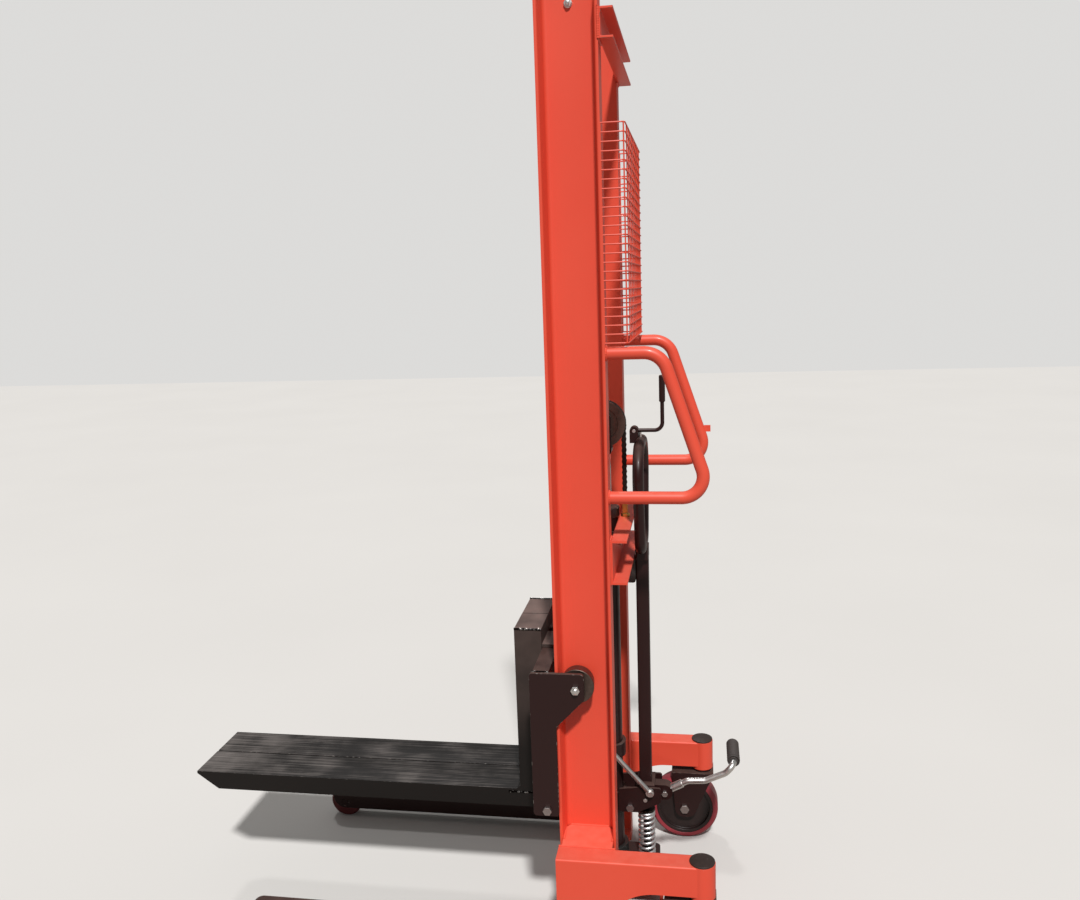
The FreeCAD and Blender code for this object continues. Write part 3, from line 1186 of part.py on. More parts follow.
def tiller_loop():
    """The closed hand loop with its hub and the ears of the release lever."""
    places = [(LOOP_FOOT_HALF, LOOP_FOOT), (LOOP_TOP_HALF, LOOP_TOP), (-LOOP_TOP_HALF, LOOP_TOP),
              (-LOOP_FOOT_HALF, LOOP_FOOT)]
    corners = [Vec(LOOP_X, y, z) for y, z in places]
    path = rounded(corners, [LOOP_FOOT_R, LOOP_TOP_R, LOOP_TOP_R, LOOP_FOOT_R], True)
    first = path.OrderedEdges[0]
    ring = tube(path, first.valueAt(first.FirstParameter), first.tangentAt(first.FirstParameter), LOOP_D)
    hub = block((LOOP_X - HUB_DEPTH / 2, LOOP_X + HUB_DEPTH / 2), (-HUB_W / 2, HUB_W / 2),
                (HUB_LOW, LOOP_FOOT))
    hub = hub.makeFillet(HUB_ROUND, [e for e in hub.Edges if e.BoundBox.ZLength > HUB_ROUND])
    fill = TILLER_W / 2 - TILLER_WALL - RING_GAP
    plug = square_bar(fill, TILLER_ROUND - TILLER_WALL, HUB_LOW - HUB_PLUG_H, HUB_LOW)
    gap = RELEASE_BOSS_W / 2 + SLIDE_GAP
    r = RELEASE_BOSS_D / 2
    ears = []
    for low in (gap, -gap - RELEASE_EAR_T):
        stand = block((RELEASE_PIN_X - r, RELEASE_PIN_X + r), (low, low + RELEASE_EAR_T),
                      (LOOP_TOP, RELEASE_PIN_Z))
        eye = Part.makeCylinder(r, RELEASE_EAR_T, Vec(RELEASE_PIN_X, low, RELEASE_PIN_Z), Y_DIR)
        ears.append(join(stand, eye))
    pin = bar(Vec(RELEASE_PIN_X, -HUB_W, RELEASE_PIN_Z), Vec(RELEASE_PIN_X, HUB_W, RELEASE_PIN_Z),
              RELEASE_PIN_D + 2 * FIT)
    way = bar(Vec(LOOP_X, 0, HUB_LOW - HUB_PLUG_H), Vec(LOOP_X, 0, RELEASE_PIN_Z), PUSH_ROD_D + 2 * FIT)
    return join(ring, hub, plug, *ears).cut(pin).cut(way)


def release_lever():
    """The bent hand lever that lets the forks down; its stalk presses the push rod."""
    half = RELEASE_BOSS_W / 2
    pin = Vec(RELEASE_PIN_X, 0, RELEASE_PIN_Z)
    boss = bar(pin - Y_DIR * half, pin + Y_DIR * half, RELEASE_BOSS_D)
    corners = [pin, Vec(RELEASE_X, 0, RELEASE_PIN_Z), Vec(RELEASE_X, 0, RELEASE_TOP)]
    stalk = tube(rounded(corners, [0, RELEASE_BEND_R, 0], False), pin, X_DIR, RELEASE_D)
    grip = bar(corners[-1] - Z_DIR * RELEASE_GRIP_L, corners[-1], RELEASE_GRIP_D)
    grip = grip.makeFillet(RELEASE_GRIP_ROUND, grip.Edges)
    lever = join(boss, stalk, grip)
    return lever.cut(bar(pin - Y_DIR * half, pin + Y_DIR * half, RELEASE_PIN_D + 2 * FIT))


def push_rod():
    """The rod inside the tiller that carries the release to the pump."""
    top = RELEASE_PIN_Z - RELEASE_D / 2 - REST_GAP
    return bar(Vec(LOOP_X, 0, PUSH_ROD_FOOT), Vec(LOOP_X, 0, top), PUSH_ROD_D)


def stop_rod():
    """The plated rod bolted to the lever's left cheek that stops the tiller upright."""
    foot = Vec(STOP_ROD_FOOT_X, STOP_ROD_Y, STOP_ROD_FOOT_Z)
    top = Vec(STOP_ROD_TOP_X, STOP_ROD_Y, STOP_ROD_TOP_Z)
    half = Y_DIR * (STOP_EYE_T / 2)
    eye = bar(foot - half, foot + half, STOP_EYE_D)
    clear = CLAMP_HEAD_D / sqrt(3) + SLIDE_GAP
    rod = bar(foot + (top - foot).normalize() * clear, top, STOP_ROD_D)
    return join(rod, eye).cut(bar(foot - half * 2, foot + half * 2, CLAMP_BOLT_D + 2 * FIT))


def pedal_rod():
    """The bent foot pedal rod with its sleeve."""
    foot = Vec(PEDAL_FOOT_X, 0, PEDAL_FOOT_Z)
    corners = [foot, Vec(PEDAL_KNEE_X, 0, PEDAL_KNEE_Z), Vec(PEDAL_MID_X, 0, PEDAL_MID_Z),
               Vec(PEDAL_RISE_X, 0, PEDAL_RISE_Z), Vec(PEDAL_END_X, 0, PEDAL_END_Z),
               Vec(PEDAL_END_X, PEDAL_END_Y, PEDAL_END_Z)]
    radii = [0, PEDAL_BEND_R, PEDAL_BEND_R, PEDAL_BEND_R, PEDAL_END_R, 0]
    rod = tube(rounded(corners, radii, False), foot, pedal_way(), PEDAL_D)
    body = join(rod, pedal_socket(PEDAL_SLEEVE_D))
    half = Y_DIR * LUG_W
    return body.cut(bar(foot - half, foot + half, CLAMP_BOLT_D + 2 * FIT))


def pedal_grip():
    """The ribbed rubber sleeve on the pedal."""
    length = PEDAL_END_Y + GRIP_OVERHANG - GRIP_START_Y
    rib = length / (2 * GRIP_RIBS - 1)
    r, bore = GRIP_D / 2, PEDAL_D / 2 + FIT
    profile = [(bore, 0)]
    for k in range(2 * GRIP_RIBS - 1):
        radius = r - GRIP_GROOVE * (k % 2)
        profile += [(radius, k * rib), (radius, (k + 1) * rib)]
    depth = PEDAL_END_Y + FIT - GRIP_START_Y
    profile += [(0, length), (0, depth), (bore, depth)]
    return turned(profile, Vec(PEDAL_END_X, GRIP_START_Y, PEDAL_END_Z), Y_DIR)


def tiller_rest():
    """The rubber block that the tiller leans on."""
    rear = PUMP_X - TILLER_W / 2 - SLIDE_GAP
    points = [(rear - REST_DEPTH, MID_BEAM_LOW), (rear, MID_BEAM_LOW), (rear, MID_BEAM_LOW - REST_H),
              (rear - REST_DEPTH, MID_BEAM_LOW - REST_H)]
    corners = [Vec(x, -REST_W / 2, z) for x, z in points]
    return plate(corners, [0, 0, REST_ROUND, REST_ROUND], Vec(0, REST_W, 0))


def carriage_plate(sign):
    """The side plate that holds the rollers, outside the mast channel."""
    low = sorted(span(sign, PLATE_INNER_Y, PLATE_OUTER_Y))[0]
    points = [(PLATE_FRONT, PLATE_BOTTOM), (PLATE_FRONT, PLATE_TOP), (PLATE_EAR_X, PLATE_TOP),
              (PLATE_EAR_X, PLATE_EAR_Z), (PLATE_WAIST_X, PLATE_WAIST_Z), (PLATE_WAIST_X, PLATE_BOTTOM)]
    sheet = side_plate(points, PLATE_ROUND, low, low + PLATE_T)
    for x, z in ((UPPER_ROLLER_X, UPPER_ROLLER_Z), (LOWER_ROLLER_X, LOWER_ROLLER_Z)):
        sheet = sheet.cut(bar(Vec(x, low, z), Vec(x, low + PLATE_T, z), AXLE_BOLT_D + 2 * FIT))
    return sheet


def roller_axle(sign, x, z, diameter, inner_y):
    """A stub axle bolted to the side plate, with the nut outside."""
    seat, outer = [Vec(x, sign * y, z) for y in (PLATE_INNER_Y, PLATE_OUTER_Y)]
    return join(bar(seat, Vec(x, sign * inner_y, z), diameter), bar(outer, seat, AXLE_BOLT_D),
                hexagon(outer, Y_DIR * sign, AXLE_NUT_D, AXLE_NUT_T))


def roller_axles():
    """The four stub axles of the carriage."""
    low_inner = FLANGE_EDGE_Y - LOWER_ROLLER_W
    kinds = [(UPPER_ROLLER_X, UPPER_ROLLER_Z, UPPER_AXLE_D, UPPER_ROLLER_IN_Y),
             (LOWER_ROLLER_X, LOWER_ROLLER_Z, LOWER_AXLE_D, low_inner)]
    return group(*[roller_axle(s, *kind) for kind in kinds for _, s in SIDES])


def mast_roller(sign):
    """The upper roller inside the channel, tapered to the flange it rolls on."""
    r_out = UPPER_ROLLER_D / 2
    r_in = r_out - FLANGE_TAPER * UPPER_ROLLER_W
    bore = UPPER_AXLE_D / 2 + FIT
    profile = [(bore, 0), (r_in, 0), (r_out, UPPER_ROLLER_W), (bore, UPPER_ROLLER_W)]
    return turned(profile, Vec(UPPER_ROLLER_X, sign * UPPER_ROLLER_IN_Y, UPPER_ROLLER_Z), Y_DIR * sign)


def guide_roller(sign):
    """The lower roller that runs on the front of the channel."""
    low = Vec(LOWER_ROLLER_X, sign * (FLANGE_EDGE_Y - LOWER_ROLLER_W), LOWER_ROLLER_Z)
    high = Vec(LOWER_ROLLER_X, sign * FLANGE_EDGE_Y, LOWER_ROLLER_Z)
    return bar(low, high, LOWER_ROLLER_D).cut(bar(low, high, LOWER_AXLE_D + 2 * FIT))


def carriage_bars():
    """The two cross bars, the lower one with the bracket that the chain pulls on."""
    upper, lower = [block((BAR_FRONT, BAR_REAR), (-PLATE_INNER_Y, PLATE_INNER_Y), (z, z + BAR_H))
                    for z in (HIGH_BAR_Z, LOW_BAR_Z)]
    bracket = block((BAR_REAR, CHAIN_FRONT_X + CHAIN_H / 2), (-BRACKET_T / 2, BRACKET_T / 2),
                    (BRACKET_Z, BRACKET_Z + BRACKET_H))
    eye = chain_eye(CHAIN_FRONT_X, BRACKET_Z + BRACKET_H, CHAIN_LOW)
    return group(upper, join(lower, bracket, eye))


def fork(sign):
    """One fork: a folded blade with a bevelled tip, a boxed upright and two collars on the bars."""
    inner, outer = FORK_INNER_Y, FORK_OUTER_Y
    y = sorted(span(sign, inner, outer))
    blade_points = [(FORK_TIP, FORK_TOP), (UPRIGHT_REAR, FORK_TOP), (UPRIGHT_REAR, FORK_BOTTOM),
                    (FORK_TIP + FORK_BEVEL_L, FORK_BOTTOM), (FORK_TIP, FORK_TOP - FORK_TIP_T)]
    blade = side_plate(blade_points, 0, *y)
    upright = block((UPRIGHT_FRONT, UPRIGHT_REAR), y, (FORK_TOP, UPRIGHT_TOP))
    heel = side_plate([(UPRIGHT_FRONT - HEEL_FILLET, FORK_TOP), (UPRIGHT_FRONT, FORK_TOP),
                       (UPRIGHT_FRONT, FORK_TOP + HEEL_FILLET)], 0, *y)
    solid = join(blade, upright, heel)
    within = (y[0] + FORK_WALL, y[1] - FORK_WALL)
    hollow = block((FORK_TIP + FORK_BEVEL_L + FORK_WALL, UPRIGHT_REAR - FORK_WALL), within,
                   (FORK_BOTTOM - OVERRUN, FORK_TOP - FORK_WALL))
    chimney = block((UPRIGHT_FRONT + FORK_WALL, UPRIGHT_REAR - FORK_WALL), within,
                    (FORK_BOTTOM, UPRIGHT_TOP - FORK_WALL))
    solid = solid.cut(hollow).cut(chimney)
    reach = COLLAR_WALL + SLIDE_GAP
    for z in (HIGH_BAR_Z, LOW_BAR_Z):
        collar = block((UPRIGHT_REAR, BAR_REAR + reach), (y[0] + COLLAR_INSET, y[1] - COLLAR_INSET),
                       (z - reach, z + BAR_H + reach))
        opening = block((UPRIGHT_REAR, BAR_REAR + SLIDE_GAP), y, (z - SLIDE_GAP, z + BAR_H + SLIDE_GAP))
        solid = join(solid, collar.cut(opening))
    return solid


def save(name, shape):
    """Moves a piece to the part's origin and writes it."""
    moved = shape.copy()
    moved.translate(Vec(-ORIGIN_X, 0, 0))
    moved.exportStep("parts/%s.step" % name)


def nodes():
    """Every node of the part by name."""
    made = {
        "top_beam": cross_channel(TOP_BEAM_LOW, TOP_BEAM_HIGH, TOP_BEAM_DEPTH, FLANGE_EDGE_Y),
        "mid_beam": mid_beam(), "base_plate": base_plate(), "mesh_guard": mesh_guard(),
        "housing_caps": group(*[housing_cap(s) for _, s in SIDES]),
        "frame_pins": group(*[make(s) for make in (stop_bolt, strap_bolt, load_axle) for _, s in SIDES]),
        "pivot_pin": pivot_pin(), "pivot_bracket": pivot_bracket(),
        "ram_barrel": ram_barrel(), "ram_gland": ram_gland(), "ram_clamps": group(ram_strap(), stop_clamp()),
        "ram_rod": ram_rod(), "ram_piston": ram_piston(), "pulley_yoke": pulley_yoke(),
        "pulley_axle": pulley_axle(), "chain_pulley": chain_pulley(), "chain_bend": chain_bend(),
        "chain_front": chain_front(), "chain_rear": chain_rear(), "chain_anchor": chain_anchor(),
        "pump_block": pump_block(), "pump_piston": pump_piston(), "pump_spring": pump_spring(),
        "pump_lever": pump_lever(), "press_roller": press_roller(), "lever_bolts": lever_bolts(),
        "tiller_tube": tiller_tube(), "tiller_loop": tiller_loop(), "tiller_rest": tiller_rest(),
        "release_lever": release_lever(), "push_rod": push_rod(), "stop_rod": stop_rod(),
        "pedal_rod": pedal_rod(), "pedal_grip": pedal_grip(),
        "carriage_bars": carriage_bars(), "roller_axles": roller_axles(),
    }
    pairs = {"mast_channel": mast_channel, "base_beam": base_beam, "leg": leg, "load_wheel": load_wheel,
             "handrail": handrail, "caster_fork": caster_fork, "wheel_hub": wheel_hub,
             "wheel_tread": wheel_tread, "carriage_plate": carriage_plate, "mast_roller": mast_roller,
             "guide_roller": guide_roller, "fork": fork}
    for name, make in pairs.items():
        for side, sign in SIDES:
            made["%s_%s" % (name, side)] = make(sign)
    return made


def main():
    """Builds every node, writes it and prints its size."""
    os.makedirs("parts", exist_ok=True)
    made = nodes()
    for name, shape in made.items():
        good = shape.isValid() and all(s.Volume > 0 for s in shape.Solids)
        note = "" if good else "BAD"
        print("%-20s solids %d volume %.0f mm3 %s" % (name, len(shape.Solids), shape.Volume, note))
        save(name, shape)
    print("nodes", len(made))


main()
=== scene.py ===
# %% [markdown]
# # Hand pallet stacker
# A hand stacker lifts a pallet on two forks. The forks hang on a carriage that runs in a mast of two
# rolled channels, and a chain over a pulley on the ram's rod pulls the carriage up at twice the rod's
# speed. The solids come from the CAD frame, each in its place. This lesson gives them finishes, rounds
# their edges, and makes the pieces that need a finer form than a solid has: wire, chain links, spring,
# welds and rubber.

# %% Load the frame
import json
import math

import bmesh
import bpy
from mathutils import Matrix, Vector


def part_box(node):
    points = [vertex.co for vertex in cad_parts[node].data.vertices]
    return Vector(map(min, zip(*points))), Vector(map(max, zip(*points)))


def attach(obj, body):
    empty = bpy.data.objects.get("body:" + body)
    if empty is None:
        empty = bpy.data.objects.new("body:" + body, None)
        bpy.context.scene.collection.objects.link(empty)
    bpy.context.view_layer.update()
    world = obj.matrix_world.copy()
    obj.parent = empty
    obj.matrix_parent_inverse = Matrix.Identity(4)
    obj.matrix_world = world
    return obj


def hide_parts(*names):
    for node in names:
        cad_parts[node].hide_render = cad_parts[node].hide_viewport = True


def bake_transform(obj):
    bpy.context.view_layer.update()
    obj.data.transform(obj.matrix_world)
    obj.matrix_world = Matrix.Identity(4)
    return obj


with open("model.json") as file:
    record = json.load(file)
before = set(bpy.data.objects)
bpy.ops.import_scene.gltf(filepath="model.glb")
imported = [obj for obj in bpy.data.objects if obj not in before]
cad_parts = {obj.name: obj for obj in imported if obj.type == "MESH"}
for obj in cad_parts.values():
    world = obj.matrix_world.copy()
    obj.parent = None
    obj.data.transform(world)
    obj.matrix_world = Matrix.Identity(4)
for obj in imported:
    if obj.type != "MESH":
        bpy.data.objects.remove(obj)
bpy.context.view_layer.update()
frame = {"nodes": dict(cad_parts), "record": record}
MM = 0.001
nodes = frame["nodes"]

# %% [markdown]
# ## The camera
# The photograph was taken from beside the rear wheels, a little above chest height, with a wide lens. A
# camera could be moved by hand until the picture looks alike. Here its place was found by fitting the
# known sizes of wheels, channel and forks, so that every later comparison is one of shapes and not of
# views. The three angles turn the camera from looking straight along +Y.

# %% Camera
IMAGE_W = 1080
FOCAL_PX = 954.5
SENSOR_MM = 36.0
CAMERA_AT = Vector((0.592, -2.186, 1.511))
YAW, PITCH, ROLL = (math.radians(angle) for angle in (-9.77, 9.67, 1.98))

forward = Vector((math.sin(YAW) * math.cos(PITCH), math.cos(YAW) * math.cos(PITCH), -math.sin(PITCH)))
level = Vector((math.cos(YAW), -math.sin(YAW), 0))
rightward = math.cos(ROLL) * level + math.sin(ROLL) * forward.cross(level)
downward = forward.cross(rightward)

lens = bpy.data.cameras.new("camera")
lens.sensor_fit = "HORIZONTAL"
lens.sensor_width = SENSOR_MM
lens.lens = FOCAL_PX / IMAGE_W * SENSOR_MM
camera = bpy.data.objects.new("camera", lens)
bpy.context.scene.collection.objects.link(camera)
axes = Matrix((rightward, -downward, -forward)).transposed().to_4x4()
camera.matrix_world = Matrix.Translation(CAMERA_AT) @ axes
bpy.context.scene.camera = camera
print("lens", round(lens.lens, 2), "mm")

# %% [markdown]
# ## Colours and nodes
# Colours are written as a picture shows them, and one function turns them to the linear values that a
# shader wants. One function adds any node with its settings and links, so a material reads as a list of
# what feeds what. A Mix node has sockets of the same name for numbers and colours, so those for colours
# are called by number.

# %% Colour and node helpers
COLOUR_A, COLOUR_B, COLOUR_OUT = 6, 7, 2


def linear(code):
    """An sRGB hex colour as linear red, green, blue and alpha."""
    parts = [int(code[i:i + 2], 16) / 255 for i in (1, 3, 5)]
    return [v / 12.92 if v <= 0.04045 else ((v + 0.055) / 1.055) ** 2.4 for v in parts] + [1.0]


def add(tree, kind, inputs=None, **settings):
    """A node with its settings, its inputs set to values or linked from other nodes' outputs."""
    node = tree.nodes.new(kind)
    for name, value in settings.items():
        setattr(node, name, value)
    for key, value in (inputs or {}).items():
        if isinstance(value, bpy.types.NodeSocket):
            tree.links.new(value, node.inputs[key])
        else:
            node.inputs[key].default_value = value
    return node


def begin(name):
    """A new empty material: itself, its tree and the piece's own coordinates."""
    material = bpy.data.materials.new(name)
    material.use_nodes = True
    material.node_tree.nodes.clear()
    place = add(material.node_tree, "ShaderNodeTexCoord").outputs["Object"]
    return material, material.node_tree, place


def surface(tree, **sockets):
    """Ends a material: one shader with its sockets set or linked, and the way out."""
    shader = add(tree, "ShaderNodeBsdfPrincipled", {key.replace("_", " "): v for key, v in sockets.items()})
    add(tree, "ShaderNodeOutputMaterial", {"Surface": shader.outputs["BSDF"]})


print("half grey is", round(linear("#808080")[0], 3), "in linear light")

# %% [markdown]
# ## What age does to paint
# Dust and grease settle on faces that look up, handling chips the paint off corners until the metal
# shows, and a sprayed coat dries with a faint orange-peel skin. Painted textures could show all this, but
# they would need an image for each piece. Dust is read from the surface's normal, the skin is a bump, and
# for the chips a later cell rounds every edge and writes 1 on the new narrow faces, in an attribute that
# is read here and broken up by a noise.

# %% Dust, chipped edges and orange peel
DUST_FROM, DUST_FULL = 0.3, 0.95
CHIP_MM = 11.0
CHIP_FROM, CHIP_FULL, CHIP_MOST = 0.55, 0.66, 0.8
PEEL_MM, PEEL_DEPTH_MM = 9.0, 0.5


def looking_up(tree, most, least=0.0):
    """How far a face looks up: least on its sides, most on its top."""
    normal = add(tree, "ShaderNodeNewGeometry").outputs["Normal"]
    facing = add(tree, "ShaderNodeSeparateXYZ", {"Vector": normal})
    share = add(tree, "ShaderNodeMapRange", {"Value": facing.outputs["Z"], "From Min": DUST_FROM,
                                             "From Max": DUST_FULL, "To Min": least, "To Max": most})
    return share.outputs["Result"]


def chipped(tree, place, coat, bare):
    """A coat's colour with the bare metal that shows where its edges have lost paint."""
    edge = add(tree, "ShaderNodeAttribute", attribute_name="edge").outputs["Fac"]
    chips = add(tree, "ShaderNodeTexNoise", {"Vector": place, "Scale": 1 / (CHIP_MM * MM), "Detail": 5.0})
    lost = add(tree, "ShaderNodeMapRange", {"Value": chips.outputs["Fac"], "From Min": CHIP_FROM,
                                            "From Max": CHIP_FULL, "To Max": CHIP_MOST})
    share = add(tree, "ShaderNodeMath", {0: edge, 1: lost.outputs["Result"]}, operation="MULTIPLY")
    worn = add(tree, "ShaderNodeMix", {"Factor": share.outputs[0], COLOUR_A: coat, COLOUR_B: linear(bare)},
               data_type="RGBA")
    return worn.outputs[COLOUR_OUT]


def orange_peel(tree, place, strength):
    """The skin of a sprayed coat, drawn coarser than a real one so that it shows."""
    peel = add(tree, "ShaderNodeTexNoise", {"Vector": place, "Scale": 1 / (PEEL_MM * MM), "Detail": 2.0})
    bump = add(tree, "ShaderNodeBump", {"Height": peel.outputs["Fac"], "Strength": strength,
                                        "Distance": PEEL_DEPTH_MM * MM})
    return bump.outputs["Normal"]


finish = {}
print("chips of", CHIP_MM, "mm, peel of", PEEL_MM, "mm")

# %% [markdown]
# ## Vermilion enamel
# The mast, beams and rails are sprayed with a glossy orange-red enamel and stoved. The eye sees an even
# colour that fades slowly, dust that dulls faces that look up, and a gloss from a clear coat. One colour
# with a gloss would do from afar, but close up it looks like plastic.

# %% Vermilion enamel
FADE_MM = 260.0
GRIT_MM = 18.0


def vermilion_enamel():
    """Stoved enamel: even colour, slow fading, pale dust on top and a thin clear coat."""
    material, tree, place = begin("vermilion_enamel")
    fade = add(tree, "ShaderNodeTexNoise", {"Vector": place, "Scale": 1 / (FADE_MM * MM), "Detail": 4.0})
    coat = add(tree, "ShaderNodeMix", {"Factor": fade.outputs["Fac"], COLOUR_A: linear("#dc4832"),
                                       COLOUR_B: linear("#e3543d")}, data_type="RGBA")
    grit = add(tree, "ShaderNodeTexNoise", {"Vector": place, "Scale": 1 / (GRIT_MM * MM), "Detail": 6.0})
    dust = add(tree, "ShaderNodeMath", {0: looking_up(tree, 0.4), 1: grit.outputs["Fac"]},
               operation="MULTIPLY")
    dusty = add(tree, "ShaderNodeMix", {"Factor": dust.outputs[0], COLOUR_A: coat.outputs[COLOUR_OUT],
                                        COLOUR_B: linear("#f08b78")}, data_type="RGBA")
    surface(tree, Base_Color=chipped(tree, place, dusty.outputs[COLOUR_OUT], "#7d5248"), Roughness=0.44,
            IOR=1.45, Coat_Weight=0.1, Coat_Roughness=0.14, Normal=orange_peel(tree, place, 0.05))
    return material


finish["red_paint"] = vermilion_enamel()
print(finish["red_paint"].name, "nodes", len(finish["red_paint"].node_tree.nodes))

# %% [markdown]
# ## Black enamel
# Carriage, ram, lever and tiller are sprayed black. The coat is thinner than the red one, so its sheen
# changes from place to place, and brown dust lies on what looks up. A noise drives both roughness and
# dust, because a duller place is a dustier place.

# %% Black enamel
SHEEN_MM = 45.0


def black_enamel():
    """Satin black enamel with an uneven sheen and brown dust on faces that look up."""
    material, tree, place = begin("black_enamel")
    sheen = add(tree, "ShaderNodeTexNoise", {"Vector": place, "Scale": 1 / (SHEEN_MM * MM), "Detail": 5.0})
    dust = add(tree, "ShaderNodeMath", {0: looking_up(tree, 1.1), 1: sheen.outputs["Fac"]},
               operation="MULTIPLY", use_clamp=True)
    satin = add(tree, "ShaderNodeMapRange", {"Value": sheen.outputs["Fac"], "From Min": 0.3, "From Max": 0.7,
                                             "To Min": 0.28, "To Max": 0.44})
    rough = add(tree, "ShaderNodeMath", {0: dust.outputs[0], 1: 0.4, 2: satin.outputs["Result"]},
                operation="MULTIPLY_ADD")
    coat = add(tree, "ShaderNodeMix", {"Factor": dust.outputs[0], COLOUR_A: linear("#281413"),
                                       COLOUR_B: linear("#5c463f")}, data_type="RGBA")
    surface(tree, Base_Color=chipped(tree, place, coat.outputs[COLOUR_OUT], "#8d8680"),
            Roughness=rough.outputs[0], IOR=1.36, Coat_Weight=0.05, Coat_Roughness=0.15,
            Normal=orange_peel(tree, place, 0.06))
    return material


finish["black_paint"] = black_enamel()
print(finish["black_paint"].name, "nodes", len(finish["black_paint"].node_tree.nodes))

# %% [markdown]
# ## The forks' rubbed enamel
# The forks get the black coat too, but loads have dragged along their tops: grey streaks run along the
# blade and get thicker at the tip, where a pallet lands first. Dust lies on the head of the upright, and
# it is painted paler there as painted light for the sun on that top.
# A noise that is stretched a hundred times along the blade gives the streaks, and the fork's own box says
# where its tip and head are.

# %% Rubbed black enamel
RUB_LENGTH_MM, RUB_WIDTH_MM, RUB_PATCH_MM = 260.0, 2.6, 85.0
RUB_DEPTH_MM = 0.3
RUB_FROM, RUB_FULL, RUB_AT_TIP = 0.49, 0.72, 0.09
WORN_L = 300 * MM
fork_low, fork_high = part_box("fork_left")


def rubbed_black_enamel():
    """Black enamel that loads have dragged over: grey streaks on the blade, and brown dust on the upright,
    painted paler on its head as painted light.
    """
    material, tree, place = begin("rubbed_black_enamel")
    streak_scale = (1 / (RUB_LENGTH_MM * MM), 1 / (RUB_WIDTH_MM * MM), 1 / (RUB_WIDTH_MM * MM))
    along = add(tree, "ShaderNodeMapping", {"Vector": place, "Scale": streak_scale})
    streaks = add(tree, "ShaderNodeTexNoise", {"Vector": along.outputs["Vector"], "Scale": 1.0, "Detail": 6.0,
                                               "Roughness": 0.65})
    patches = add(tree, "ShaderNodeTexNoise", {"Vector": place, "Scale": 1 / (RUB_PATCH_MM * MM),
                                               "Detail": 4.0})
    both = add(tree, "ShaderNodeMix", {"Factor": 0.35, "A": streaks.outputs["Fac"],
                                       "B": patches.outputs["Fac"]})
    at = add(tree, "ShaderNodeSeparateXYZ", {"Vector": place})
    tip = add(tree, "ShaderNodeMapRange", {"Value": at.outputs["X"], "From Min": fork_low.x,
                                           "From Max": fork_low.x + WORN_L, "To Min": RUB_AT_TIP,
                                           "To Max": 0.0})
    rubbed = add(tree, "ShaderNodeMath", {0: both.outputs["Result"], 1: tip.outputs["Result"]})
    worn = add(tree, "ShaderNodeMapRange", {"Value": rubbed.outputs[0], "From Min": RUB_FROM,
                                            "From Max": RUB_FULL})
    share = add(tree, "ShaderNodeMath", {0: worn.outputs["Result"], 1: looking_up(tree, 1.0)},
                operation="MULTIPLY", use_clamp=True)
    coat = add(tree, "ShaderNodeMix", {"Factor": share.outputs[0], COLOUR_A: linear("#15110f"),
                                       COLOUR_B: linear("#77706c")}, data_type="RGBA")
    # Dust on the upright's head, stronger and paler than dust alone: partly painted light for the sun on that
    # top.
    head = add(tree, "ShaderNodeMapRange", {"Value": at.outputs["Z"], "From Min": fork_high.z - WORN_L,
                                            "From Max": fork_high.z - WORN_L / 3, "To Max": 1.3})
    head_dust_and_painted_light = add(tree, "ShaderNodeMath", {0: head.outputs["Result"], 1: looking_up(tree, 1.0, 0.35)},
               operation="MULTIPLY")
    dust = add(tree, "ShaderNodeMath", {0: head_dust_and_painted_light.outputs[0], 1: patches.outputs["Fac"]}, operation="MULTIPLY",
               use_clamp=True)
    dusty = add(tree, "ShaderNodeMix", {"Factor": dust.outputs[0], COLOUR_A: coat.outputs[COLOUR_OUT],
                                        COLOUR_B: linear("#7a655e")}, data_type="RGBA")
    rough = add(tree, "ShaderNodeMapRange", {"Value": share.outputs[0], "To Min": 0.46, "To Max": 0.66})
    scratches = add(tree, "ShaderNodeBump", {"Height": both.outputs["Result"], "Strength": 0.15,
                                             "Distance": RUB_DEPTH_MM * MM})
    surface(tree, Base_Color=chipped(tree, place, dusty.outputs[COLOUR_OUT], "#8d8680"),
            Roughness=rough.outputs["Result"], IOR=1.38, Normal=scratches.outputs["Normal"])
    return material


finish["fork_paint"] = rubbed_black_enamel()
print(finish["fork_paint"].name, "nodes", len(finish["fork_paint"].node_tree.nodes))

# %% [markdown]
# ## Bare and plated metals
# Bolts and rods are zinc plated, the ram's rod is chromed, the spring is bright, rollers are turned
# steel, the chain is dark with oil, and weld beads show through their paint in specks. Each could have a
# material of its own, but they differ in numbers only. So they share one recipe: a metal whose colour and
# roughness a noise breaks up.

# %% Metals
def plated(name, pale, dark, smoothest, roughest, grain_mm, pale_below=0.0, dark_above=1.0):
    """Metal whose colour and roughness drift between two values at a real grain size."""
    material, tree, place = begin(name)
    grain = add(tree, "ShaderNodeTexNoise", {"Vector": place, "Scale": 1 / (grain_mm * MM), "Detail": 5.0})
    share = add(tree, "ShaderNodeMapRange", {"Value": grain.outputs["Fac"], "From Min": pale_below,
                                             "From Max": dark_above})
    tone = add(tree, "ShaderNodeMix", {"Factor": share.outputs["Result"], COLOUR_A: linear(pale),
                                       COLOUR_B: linear(dark)}, data_type="RGBA")
    rough = add(tree, "ShaderNodeMapRange", {"Value": grain.outputs["Fac"], "From Min": 0.3, "From Max": 0.7,
                                             "To Min": smoothest, "To Max": roughest})
    surface(tree, Metallic=1.0, Base_Color=tone.outputs[COLOUR_OUT], Roughness=rough.outputs["Result"])
    return material


